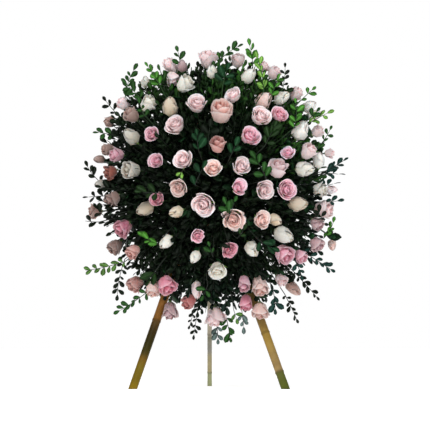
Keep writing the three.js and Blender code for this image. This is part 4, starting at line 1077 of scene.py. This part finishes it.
# tip x and height, base x and height, how far in front of the dome, tone, leaf length
SPRIGS = [
    (-201, 962, -165, 906, 20, "bright", 27), (-246, 951, -270, 873, 0, "mid", 26),
    (-264, 908, -222, 866, 5, "mid", 27), (-111, 1007, -104, 972, 10, "mid", 27),
    (66, 1022, 15, 984, 10, "mid", 26), (105, 1026, 114, 966, 10, "bright", 27),
    (129, 986, 147, 888, 25, "lime", 25), (186, 918, 171, 880, 30, "bright", 26),
    (211, 960, 204, 896, 0, "dark", 17), (291, 892, 258, 861, 0, "bright", 24),
    (336, 822, 282, 792, 10, "lime", 26), (345, 771, 306, 714, 10, "mid", 24),
    (243, 852, 240, 780, 20, "bright", 27), (124, 682, 154, 622, 45, "mid", 33),
    (-210, 450, -172, 428, 40, "bright", 27), (-15, 420, -6, 390, 40, "mid", 24),
    (-34, 276, -22, 306, 24, "mid", 30), (64, 206, 56, 232, 20, "pale", 27),
    (46, 150, 36, 200, 20, "mid", 28), (-107, 632, -96, 652, 8, "lime", 20),
    (-54, 753, -50, 712, 30, "emerald", 34), (60, 722, 46, 692, 25, "emerald", 32),
    (-38, 654, -60, 606, 30, "emerald", 36), (176, 778, 148, 722, 35, "moss", 38),
    (34, 950, 22, 900, 25, "emerald", 36), (168, 418, 132, 440, 40, "emerald", 36),
    (-16, 778, -20, 742, 30, "dark", 34), (84, 468, 66, 446, 30, "moss", 28),
    (-218, 585, -178, 582, 40, "moss", 32), (-192, 326, -176, 352, 30, "moss", 42),
    (-327, 858, -294, 819, 0, "dark", 25), (-348, 764, -306, 756, 0, "mid", 28),
    (-382, 660, -348, 618, 0, "dark", 26), (-379, 570, -342, 573, 0, "dark", 26),
    (-389, 498, -348, 495, 0, "dark", 26), (384, 678, 330, 648, 0, "blue", 26),
    (369, 639, 330, 642, 0, "blue", 27), (354, 609, 318, 603, 0, "blue", 26),
    (366, 558, 324, 555, 0, "blue", 27), (354, 492, 326, 446, 10, "bright", 22),
    (345, 354, 268, 404, 10, "blue", 22), (258, 338, 240, 378, 20, "blue", 22),
    (303, 272, 240, 342, 0, "dark", 21), (243, 206, 208, 280, 0, "dark", 19),
    (180, 236, 172, 300, 0, "blue", 28), (-388, 350, -270, 376, 10, "pale", 24),
    (-292, 278, -270, 384, 0, "dark", 21), (-284, 230, -192, 294, 10, "mid", 23),
    (-75, 186, -64, 228, 0, "dark", 18), (-63, 158, -56, 204, 0, "dark", 18),
    (9, 146, 6, 186, 0, "grey", 24), (86, 182, 80, 232, 0, "grey", 26),
    (-226, 850, -214, 820, 40, "mid", 22), (-340, 600, -300, 592, -10, "dark", 28),
    (-334, 556, -296, 540, -10, "dark", 28), (58, 556, 36, 500, 74, "mid", 34),
    (34, 548, 44, 520, 70, "mid", 30), (42, 440, 46, 408, 60, "dark", 28),
    (304, 826, 290, 812, 40, "mid", 24), (300, 540, 322, 500, 40, "dark", 26),
    (-352, 532, -330, 512, 30, "dark", 28),
]
# The greens by name. Deep and dark are painted shade for leaves inside the dome, and bright and lime are
# partly painted light on the top
GREENS = {name: np.array(linear(colour)[:3]) for name, colour in (
    ("deep", "#040804"), ("dark", "#091408"), ("mid", "#1f4418"), ("bright", "#3a7023"),
    ("lime", "#64903a"), ("emerald", "#0e3219"), ("moss", "#152c0e"), ("pale", "#45692c"),
    ("blue", "#12302a"), ("grey", "#5a6d69"))}
# How far leaves may reach past the box of the solids, in millimetres
MARGIN = np.array([9.0, 15.0, 9.0])
LIMIT_LOW = (np.array(solids_low) - SHIFT) / MM - MARGIN
LIMIT_HIGH = (np.array(solids_high) - SHIFT) / MM + MARGIN
# A sprig's stem keeps this far inside the front limit, and its tip nods forward by this much
FRONT_SPARE = 4
SPRIG_NOD = 8
# A twig's radius, its shares of it at the foot and the tip, and how far up from the foot it is bare
TWIG_RADIUS = 1.5
TWIG_TAPER = (1.5, 0.45)
BARE_FOOT = 20.0
# The angles between a leaf and its twig, and how leaves vary in length
LEAF_ANGLES = (0.3, 1.15)
LEAF_SPREAD = (0.7, 1.22)
# How far a leaf may sit below its pair's place, and how the space between pairs varies
PAIR_STAGGER = 12
SPACING_SPREAD = (0.85, 1.15)
branch_tips = {name: [on_sight(*tip) for tip in tips] for name, tips in BRANCHES.items()}
branches = {name: Skeleton() for name in BRANCHES}


def nearest_branch(place):
    """The name of the branch with a tip nearest to a place."""
    return min(branch_tips, key=lambda name: min(np.linalg.norm(place - t) for t in branch_tips[name]))


def soft_step(value, start, end):
    """From 0 at the start to 1 at the end, which may be the lower of the two."""
    return ease((value - start) / (end - start))


def tone_at(place, glow, base=None):
    """A leaf's colour: painted shade nearly black inside, painted light green on top, bluish right and below.
    """
    if base is not None:
        return tuple(GREENS[base] * draw.uniform(0.75, 1.2)) + (1.0,)
    # Where painted light falls, from one place on the plan to another, in millimetres. Leaves behind
    # show their own mid green, and bluish ones lie to the right and low down
    x, y, z = place
    right = soft_step(x, 120, 280) * soft_step(z, 570, 720)
    high = max(soft_step(z, 760, 960) * (0.6 + 0.4 * soft_step(x, 0, 150)), right)
    behind = soft_step(y, -10, 60)
    cool = soft_step(x, 180, 380) * 0.6 + soft_step(z, 400, 200) * 0.5
    glow = np.clip(glow + draw.normal(0, 0.12), 0, 1)
    # Every leaf starts from painted shade, nearly black, and painted light lifts it to green on top
    mixed = GREENS["deep"] + (GREENS["dark"] - GREENS["deep"]) * draw.uniform(0, 1)
    mixed = mixed + (GREENS["mid"] - mixed) * max(high, 0.1) * glow
    mixed = mixed + (GREENS["bright"] - mixed) * high * glow ** 1.5
    mixed = mixed + (GREENS["mid"] - mixed) * 0.7 * behind * (0.4 + 0.6 * glow)
    mixed = mixed + (GREENS["blue"] - mixed) * min(1.0, cool) * (1 - high) * draw.uniform(0, 0.8)
    return tuple(mixed) + (1.0,)


def leaf_fits(points):
    """Whether points lie inside the limits and clear of blooms and canes."""
    inside = np.all((points > LIMIT_LOW) & (points < LIMIT_HIGH))
    return inside and overlap_of(points, 0.5) <= 0


def plant_twig(line, leafy_length, size, tone=None, spacing=15.0, toward=None):
    """One twig with pairs of leaves along its outer stretch and one at its tip."""
    tip = line[-1]
    skeleton = branches[nearest_branch(tip)]
    steps = np.linalg.norm(np.diff(line, axis=0), axis=1)
    lengths = np.concatenate([[0], np.cumsum(steps)])
    total = lengths[-1]
    # Twigs are painted from dark to mid green towards the top, as painted light
    stem_tone = GREENS["dark"] + (GREENS["mid"] - GREENS["dark"]) * soft_step(tip[2], 700, 950)
    skeleton.stem(line, [TWIG_RADIUS * share for share in TWIG_TAPER], stem_tone)
    at = total
    outward = unit(tip - HEART)
    # How much of the painted light this twig's leaves take, drawn at random
    glow = draw.uniform(0, 1)
    planted = 0
    while at > max(BARE_FOOT, total - leafy_length):
        place = np.array([np.interp(at, lengths, line[:, k]) for k in range(3)])
        before = np.array([np.interp(at - 6, lengths, line[:, k]) for k in range(3)])
        tangent = unit(place - before)
        facing = unit((outward if toward is None else np.array(toward)) + np.array([0, -0.25, 0.35])
                      + draw.normal(0, 0.25, 3))
        facing = unit(facing - tangent * (facing @ tangent))
        side = np.cross(facing, tangent)
        # Leaves on a twig that points at the eye open wide, with their faces to the front
        end_on = max(0.0, float(-tangent[1]))
        for hand in (0,) if at == total else (-1, 1):
            angle = 0.0 if hand == 0 else draw.uniform(*LEAF_ANGLES) + 0.35 * end_on
            seat = place - tangent * (abs(hand) * draw.uniform(0, PAIR_STAGGER))
            way = unit(tangent * math.cos(angle) + side * hand * math.sin(angle)
                       + facing * draw.uniform(-0.1, 0.35 if toward is None else 0.1))
            upper = tangent * math.sin(angle) - side * hand * math.cos(angle)
            length = size * draw.uniform(*LEAF_SPREAD) * (0.85 if hand == 0 else 1.0)
            if leaf_fits(np.array([seat + way * length * 0.5, seat + way * length])):
                flat = facing * (1 - end_on) + upper * end_on
                flat = unit(flat - way * (flat @ way) + np.cross(flat, way) * draw.normal(0, 0.25))
                skeleton.leaf(seat, way, flat, length, tone_at(seat, glow, tone))
                planted += 1
        at -= spacing * draw.uniform(*SPACING_SPREAD) * (0.6 if at == total else 1.0)
    return planted


planted = 0
for tip_x, tip_z, base_x, base_z, lift, tone, size in SPRIGS:
    depth = dome_depth(base_x, base_z) - lift
    tip, base = on_sight(tip_x, tip_z, depth - SPRIG_NOD), on_sight(base_x, base_z, depth)
    tip[1] = max(tip[1], LIMIT_LOW[1] + FRONT_SPARE)
    base[1] = max(base[1], LIMIT_LOW[1] + FRONT_SPARE)
    line = clear_curve(base, unit(base - HEART), TWIG_RADIUS, tries=12)
    part = np.linspace(0, 1, 6)[1:, None]
    reach = np.linalg.norm(tip - base)
    along_twig = base + (tip - base) * part + unit(base - HEART) * (part * (1 - part)) * reach * 0.25
    along_twig[:, 1] = np.maximum(along_twig[:, 1], LIMIT_LOW[1] + FRONT_SPARE)
    planted += plant_twig(np.concatenate([line, along_twig]), reach, size, tone, spacing=19.0,
                          toward=(0, -1, 0.3))
print(len(SPRIGS), "sprigs,", planted, "leaves")

# %% [markdown]
# The rest of the greenery fills the dome evenly. Tips set at the golden angle cover the front
# without rows, a little thinner low down, where the real one is thin too. More twigs make the thick
# rim, which reaches back over the tray, and a sparser set closes the back, as a florist does so
# that a spray looks finished from behind.

# %% Fill the dome, the rim and the back
FRONT_TWIGS = 400
RIM_TWIGS = 150
BACK_TWIGS = 130
# How far the mass of leaves reaches, as a share of the dome's radius at each bearing in degrees
EDGE = ((0, 0.87), (20, 0.88), (45, 0.95), (90, 0.96), (135, 0.97), (160, 0.92), (180, 0.89), (205, 0.91),
        (225, 0.88), (250, 0.87), (270, 0.88), (300, 0.88), (330, 0.9), (345, 0.87), (360, 0.87))


def edge_at(angle):
    """The share of the dome's radius that leaves reach at an angle."""
    return np.interp(math.degrees(angle) % 360, [a for a, _ in EDGE], [r for _, r in EDGE])


def thinning_at(x, z):
    """The share of twigs to leave out at a place in the front view, more of them low down."""
    low_right = soft_step(x, 70, 180) * soft_step(z, 520, 340)
    low_left = soft_step(x, -190, -250) * soft_step(z, 460, 340)
    low_middle = soft_step(z, 345, 315) * soft_step(x, 85, 55) * soft_step(x, -8, 4)
    return max(0.25 * low_right, 0.2 * low_left, 0.12 * soft_step(z, 420, 320), 0.4 * low_middle)


def fill_tips():
    """Tips of the filling twigs, with how long their leafy stretch is."""
    # How many twigs, and the shares of the dome's radius that they lie between
    sets = ((FRONT_TWIGS, 0.0, 1.0), (RIM_TWIGS, 0.94, 1.03), (BACK_TWIGS, 0.56, 0.97))
    for kind, (count, inner, outer) in enumerate(sets):
        for k in range(count):
            angle = k * GOLDEN_ANGLE + kind + draw.normal(0, 0.02)
            share = math.sqrt(inner ** 2 + (outer ** 2 - inner ** 2) * (k + 0.5) / count)
            back = draw.uniform(0, 1)
            if kind == 1:
                share *= 1 - 0.1 * back ** 2
            spread = share * edge_at(angle)
            x = HEAD["half_width"] * spread * math.cos(angle)
            z = HEAD["z"] + HEAD["half_height"] * spread * math.sin(angle)
            front_depth = dome_depth(x, z) - 6 + 40 * back
            rim_depth = -90 + 125 * back
            back_depth = 66 - 20 * back - 50 * share ** 3
            if draw.uniform(0, 1) > thinning_at(x, z):
                tip = on_sight(x, z, (front_depth, rim_depth, back_depth)[kind])
                yield tip, draw.uniform(110, 155)


# A tip nearer to a bloom than this, in millimetres, draws back behind it, by a share of the bloom's
# radius and some millimetres more
TIP_CLEARANCE = 4
DRAW_BACK_SHARE = 1.25
DRAW_BACK_MORE = 6
# How far a filling twig's direction strays at its tip, and the radius that it keeps clear, in mm
TWIG_STRAY = 20
TWIG_BERTH = 1.2
FILL_LEAVES = (23, 29)
planted = 0
for tip, leafy_length in fill_tips():
    far = np.linalg.norm(BLOOM_PLACES - tip, axis=1) - BLOOM_SIZES
    if far.min() < TIP_CLEARANCE:
        size = BLOOM_SIZES[int(np.argmin(far))]
        tip = tip - unit(tip - HEART) * (size * DRAW_BACK_SHARE + DRAW_BACK_MORE)
    arrive = unit(tip - HEART + draw.normal(0, TWIG_STRAY, 3))
    line = clear_curve(tip, arrive, TWIG_BERTH, tries=8, count=8)
    planted += plant_twig(line, leafy_length, draw.uniform(*FILL_LEAVES))
print(planted, "leaves fill the dome")

greens_faces = 0
for number, (name, skeleton) in enumerate(branches.items()):
    piece = skeleton.as_piece("greens_" + name, leaf_shape, sides=4, seed=20 + number)
    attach(piece, "root")
    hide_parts("greenery_" + name)
    greens_faces += len(piece.data.polygons)
for shape_object in (leaf_shape, rose_leaf, sepal):
    bpy.data.objects.remove(shape_object)
print(greens_faces, "faces of greenery")

# %% [markdown]
# Bamboo is a smooth waxy tube with a raised ring at each joint, a groove under the ring and fine
# fibres along it. The canes here are sawn flat at the foot, which shows the hollow. A skin of
# rings follows the solid's own line, and each point takes a colour from the cane's height, because
# each stretch of a real cane has weathered its own way.

# %% The canes
# The colour of each cane at some heights above the floor, in millimetres
CANE_TONES = {
    "leg_front_left": [(0, "#7a6310"), (60, "#685816"), (84, "#664c16"), (99, "#453911"), (111, "#38320a"),
                       (135, "#2b2606"), (165, "#34280c"), (194, "#4f3b1c"), (201, "#7b5424"),
                       (240, "#8d6230"), (400, "#7a5c2c"), (705, "#6d5528")],
    "leg_front_right": [(0, "#4f571c"), (44, "#555728"), (52, "#89744c"), (75, "#ab8b53"), (99, "#846d3f"),
                        (147, "#8c7233"), (200, "#826a3d"), (260, "#80693a"), (705, "#75602f")],
    "leg_back": [(0, "#989c74"), (40, "#9c9e78"), (46, "#aa9f79"), (90, "#a39978"), (110, "#98958a"),
                 (150, "#7b7865"), (163, "#aaa18e"), (400, "#8d8570"), (668, "#80785f")],
}
CANE_SIDES = 28
BORE_DEPTH = 45.0
# The rings round a joint: heights from the joint, and widths as shares of the cane's radius
JOINT_SHAPE = ((-26, 0.985), (-9, 0.98), (-5, 0.96), (-2.5, 1.02), (0, 1.07), (2, 1.06), (4.5, 0.99),
               (12, 0.985))
# The rounded edge at a cane's top, and the bores at its top and its foot, in the same way
TOP_EDGE = ((-1.5, 1.0), (0, 0.95))
TOP_BORE = ((0, 0.66), (-18, 0.62))
FOOT_BORE = ((BORE_DEPTH, 0.6), (0.0, 0.62))
# A plain ring follows this far above a joint, where the cane goes on for some millimetres more.
# Rings for a change of colour keep away from joints and from both ends.
STRETCH_START = 50
STRETCH_MORE = 10
JOINT_BERTH = 28
FOOT_LENGTH = 14
TOP_BERTH = 2
# Darker on the raised ring of a joint, the cane's own colour, and in the hollow, as painted shade
RING_REACH = 4
RING_SHADE = 0.7
HOLLOW_PAINTED_SHADE = 0.8
# How many millimetres one unit of the cane's map covers, round it and along it
MAP_ROUND = 26
MAP_ALONG = 100

# Bamboo skin: waxy, with fibres that run along the cane, about a third of a millimetre apart
bamboo, tree, shader = finish_of("bamboo", Roughness=0.42, IOR=1.5, Specular_IOR_Level=0.07)
tint = add(tree, "ShaderNodeAttribute", attribute_name="tint", attribute_type="GEOMETRY")
cane_map = add(tree, "ShaderNodeUVMap", uv_map="cane map")
stretched = add(tree, "ShaderNodeMapping", {"Vector": cane_map.outputs["UV"], "Scale": (26.0, 5.0, 1.0)})
fibres = add(tree, "ShaderNodeTexNoise", {"Vector": stretched.outputs["Vector"], "Scale": 3.0, "Detail": 4.0})
place = add(tree, "ShaderNodeTexCoord")
stains = add(tree, "ShaderNodeTexNoise", {"Vector": place.outputs["Object"], "Scale": 22.0, "Detail": 3.0})
mixed = add(tree, "ShaderNodeMath", {0: fibres.outputs["Fac"], 1: stains.outputs["Fac"]}, operation="ADD")
shade = add(tree, "ShaderNodeMapRange", {0: mixed.outputs[0], 1: 0.7, 2: 1.3, 3: 0.7, 4: 1.25})
skin = add(tree, "ShaderNodeHueSaturation", {"Value": shade.outputs[0], "Color": tint.outputs["Color"]})
relief = add(tree, "ShaderNodeBump", {"Strength": 0.3, "Distance": 0.0006, "Height": fibres.outputs["Fac"]})
tree.links.new(skin.outputs["Color"], shader.inputs["Base Color"])
tree.links.new(relief.outputs["Normal"], shader.inputs["Normal"])


def across_of(cane):
    """Two directions across a cane, square to it and to each other."""
    axis = unit(cane["way"])
    side = unit(np.cross([0.0, 1.0, 0.0], axis))
    return side, np.cross(axis, side)


def cane_rows(node, cane):
    """The rings of a cane as (part, height, share of radius), up the skin and then down the bores."""
    top, joints = cane["top"], cane["joints"]
    outline = [(0.0, 1.0), (FOOT_LENGTH, 1.0)]
    for joint in joints:
        outline += [(joint + step, share) for step, share in JOINT_SHAPE]
        if joint + STRETCH_START + STRETCH_MORE < top:
            outline.append((joint + STRETCH_START, 1.0))
    for height, _ in CANE_TONES[node]:
        off_joints = min(abs(height - joint) for joint in joints)
        if FOOT_LENGTH < height < top - TOP_BERTH and off_joints > JOINT_BERTH:
            outline.append((height, 0.99))
    outline = sorted(outline) + [(top + step, share) for step, share in TOP_EDGE]
    return ([("skin", *row) for row in outline] + [("top", top + step, share) for step, share in TOP_BORE]
            + [("foot", *row) for row in FOOT_BORE])


def cane_piece(node, cane):
    """A hollow-footed cane on the solid's own line, as one closed skin."""
    radius = cane["radius"]
    steep = np.linalg.norm(cane["way"])
    side, other = across_of(cane)
    rows = cane_rows(node, cane)
    heights = [h for h, _ in CANE_TONES[node]]
    colours = np.array([linear(c)[:3] for _, c in CANE_TONES[node]])
    points, tones = [], []
    for part, height, share in rows:
        middle = on_cane(cane, height)
        for k in range(CANE_SIDES):
            angle = 2 * math.pi * k / CANE_SIDES
            point = middle + radius * share * (side * math.cos(angle) + other * math.sin(angle))
            if height == 0.0:
                point = point - cane["way"] * point[2]
            points.append(point)
        tone = np.array([np.interp(height, heights, colours[:, c]) for c in range(3)])
        raised = min(abs(height - joint) for joint in cane["joints"]) < RING_REACH
        # The hollow's darker tone is painted shade; the joint ring's is the cane's own
        shade = HOLLOW_PAINTED_SHADE if part != "skin" else RING_SHADE if raised else 1.0
        tones += [tone * shade] * CANE_SIDES
    faces = []

    def band(low, high):
        a, b = low * CANE_SIDES, high * CANE_SIDES
        for k in range(CANE_SIDES):
            n = (k + 1) % CANE_SIDES
            faces.append((a + k, a + n, b + n, b + k))

    # The last four rings are the top bore's and the foot bore's, two each
    count = len(rows) - 4
    for k in range(count + 1):
        band(k, k + 1)
    faces.append(tuple((count + 1) * CANE_SIDES + k for k in range(CANE_SIDES)))
    band(count + 2, count + 3)
    band(count + 3, 0)
    faces.append(tuple((count + 2) * CANE_SIDES + k for k in reversed(range(CANE_SIDES))))
    piece = mesh_object(node.replace("leg_", "cane_"), to_model(points), faces, bamboo)
    paint(piece, np.array(tones))
    layer = piece.data.uv_layers.new(name="cane map")
    for face in piece.data.polygons:
        corners_at = [piece.data.loops[loop].vertex_index for loop in face.loop_indices]
        last = max(index % CANE_SIDES for index in corners_at)
        for loop, index in zip(face.loop_indices, corners_at):
            around = (index % CANE_SIDES) / CANE_SIDES
            # The last column's faces close the ring, so there the map runs on to 1
            if around == 0 and last > 2:
                around = 1.0
            layer.data[loop].uv = (around * radius * 2 * math.pi / MAP_ROUND,
                                   points[index][2] * steep / MAP_ALONG)
    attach(piece, "root")
    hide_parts(node)
    return piece


for node, cane in CANES.items():
    piece = cane_piece(node, cane)
    print(piece.name, len(piece.data.polygons), "faces")

# %% [markdown]
# Jute twine lashes the three canes where they cross. A path winds round them turn by turn, and the
# same kind of tree sweeps a round profile along it. The material draws the twist of the yarn, as
# slanted bands.

# %% The twine lashing
LASHING = {"x": -22.0, "y": 26.0, "z": 641.0, "radius_x": 27.0, "radius_y": 50.0, "height": 34.0}
TWINE_RADIUS = 2.0
# How much thicker the twine is drawn
TWINE_SPREAD = 1.05
TURNS = 8
STEPS = 40
# The share of the solid's radii that the turns lie at, and how far and how fast that wanders
COIL_SHARE = 0.93
COIL_WANDER = 0.03
WANDER_RATE = 1.7

# Jute: matt, hairy brown yarn, with slanted bands about every 4 mm
jute, tree, shader = finish_of("jute twine", Roughness=0.9, IOR=1.45, Sheen_Weight=0.2)
place = add(tree, "ShaderNodeTexCoord")
twist = add(tree, "ShaderNodeTexWave", {"Vector": place.outputs["Object"], "Scale": 160.0, "Distortion": 2.0},
            bands_direction="DIAGONAL")
fluff = add(tree, "ShaderNodeTexNoise", {"Vector": place.outputs["Object"], "Scale": 400.0, "Detail": 3.0})
mixed = add(tree, "ShaderNodeMix", {0: fluff.outputs["Fac"], 2: twist.outputs["Fac"],
                                    3: fluff.outputs["Fac"]})
two_toned(tree, shader, mixed.outputs[0], ("#5d4726", "#a58a56"), twist.outputs["Fac"], 0.5)

wind = bpy.data.node_groups.new("wind twine", "GeometryNodeTree")
group_input(wind, "Path", "NodeSocketGeometry")
TWINE_INPUT = group_input(wind, "Twine radius", "NodeSocketFloat", 0.002)
TWINE_SIDES_INPUT = group_input(wind, "Twine sides", "NodeSocketInt", 8)
FINISH_INPUT = group_input(wind, "Finish", "NodeSocketMaterial")
wind.interface.new_socket(name="Twine", in_out="OUTPUT", socket_type="NodeSocketGeometry")
given = add(wind, "NodeGroupInput")
path = add(wind, "GeometryNodeMeshToCurve", {"Mesh": given.outputs["Path"]})
profile = add(wind, "GeometryNodeCurvePrimitiveCircle", {"Resolution": given.outputs["Twine sides"],
                                                        "Radius": given.outputs["Twine radius"]})
swept = add(wind, "GeometryNodeCurveToMesh", {"Curve": path.outputs["Curve"],
                                              "Profile Curve": profile.outputs["Curve"], "Fill Caps": True})
real = add(wind, "GeometryNodeRealizeInstances", {"Geometry": swept.outputs["Mesh"]})
finished = add(wind, "GeometryNodeSetMaterial", {"Geometry": real.outputs["Geometry"],
                                                 "Material": given.outputs["Finish"]})
add(wind, "NodeGroupOutput", {"Twine": finished.outputs["Geometry"]})


def wound(name, points, radius, sides, material, closed=False):
    """A round thread swept along points in plan millimetres."""
    edges = [(k, k + 1) for k in range(len(points) - 1)] + ([(len(points) - 1, 0)] if closed else [])
    mesh = bpy.data.meshes.new(name)
    mesh.from_pydata([tuple(p) for p in to_model(points)], edges, [])
    return made_by(wind, name, mesh, {TWINE_INPUT: radius * MM, TWINE_SIDES_INPUT: sides,
                                      FINISH_INPUT: material})


coil = []
for k in range(TURNS * STEPS + 1):
    turn = k / STEPS
    angle = turn * 2 * math.pi
    layer = COIL_SHARE + COIL_WANDER * math.sin(turn * WANDER_RATE)
    coil.append((LASHING["x"] + LASHING["radius_x"] * layer * math.cos(angle),
                 LASHING["y"] + LASHING["radius_y"] * layer * math.sin(angle),
                 LASHING["z"] - LASHING["height"] / 2 + TWINE_RADIUS
                 + (LASHING["height"] - 2 * TWINE_RADIUS) * turn / TURNS))
piece = wound("lashing_twine", coil, TWINE_RADIUS * TWINE_SPREAD, 8, jute)
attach(piece, "root")
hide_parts("lashing")
print("lashing:", len(piece.data.polygons), "faces")

# %% [markdown]
# Two ties of green coated wire hold the tray's lower rib to the front canes. Each is a plain ring
# of wire, closed all the way round.

# %% The wire ties
TIE_RADIUS = 18.4
TIE_STEPS = 40
WIRE_RADIUS = 1.7
RIB_HEIGHT = -62.0

# PVC-coated florist's wire: smooth dark green plastic over steel
wire, tree, shader = finish_of("coated wire", Roughness=0.35, IOR=1.5)
place = add(tree, "ShaderNodeTexCoord")
scuffs = add(tree, "ShaderNodeTexNoise", {"Vector": place.outputs["Object"], "Scale": 300.0, "Detail": 2.0})
two_toned(tree, shader, scuffs.outputs["Fac"], ("#16301c", "#2a4a30"))

for node, cane_name in (("tie_left", "leg_front_left"), ("tie_right", "leg_front_right")):
    cane = CANES[cane_name]
    middle = on_cane(cane, from_holder([0, 0, RIB_HEIGHT])[2])
    side, other = across_of(cane)
    ring = [middle + TIE_RADIUS * (side * math.cos(a) + other * math.sin(a))
            for a in np.linspace(0, 2 * math.pi, TIE_STEPS + 1)[:-1]]
    piece = wound("wire_" + node, ring, WIRE_RADIUS, 8, wire, closed=True)
    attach(piece, "root")
    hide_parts(node)
    print(piece.name, len(piece.data.polygons), "faces")

# %% [markdown]
# The tray and the foam keep their solids, whose plain moulded shapes are right. The tray gets the
# fine matt texture of moulded plastic. Wet floral foam is a dense dust-fine foam: dark green
# when soaked, with a pitted skin.

# %% The tray and the foam
# Moulded tray plastic: dark green, half matt, with a fine even grain
moulded, tree, shader = finish_of("moulded plastic", Roughness=0.5, IOR=1.5, Specular_IOR_Level=0.3)
place = add(tree, "ShaderNodeTexCoord")
texture = add(tree, "ShaderNodeTexNoise", {"Vector": place.outputs["Object"], "Scale": 500.0, "Detail": 2.0})
two_toned(tree, shader, texture.outputs["Fac"], ("#183022", "#23402d"), texture.outputs["Fac"], 0.2, 0.0003)

# Soaked floral foam: matt, dark green in damp patches, with pits all over
foam, tree, shader = finish_of("wet floral foam", Roughness=0.95, IOR=1.35)
place = add(tree, "ShaderNodeTexCoord")
pits = add(tree, "ShaderNodeTexVoronoi", {"Vector": place.outputs["Object"], "Scale": 450.0})
damp = add(tree, "ShaderNodeTexNoise", {"Vector": place.outputs["Object"], "Scale": 14.0, "Detail": 4.0})
two_toned(tree, shader, damp.outputs["Fac"], ("#1c4226", "#2f6238"), pits.outputs["Distance"], 0.6)

for node, material in (("holder_tray", moulded), ("foam_block", foam)):
    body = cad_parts[node]
    body.data.materials.clear()
    body.data.materials.append(material)
print("tray and foam finished")
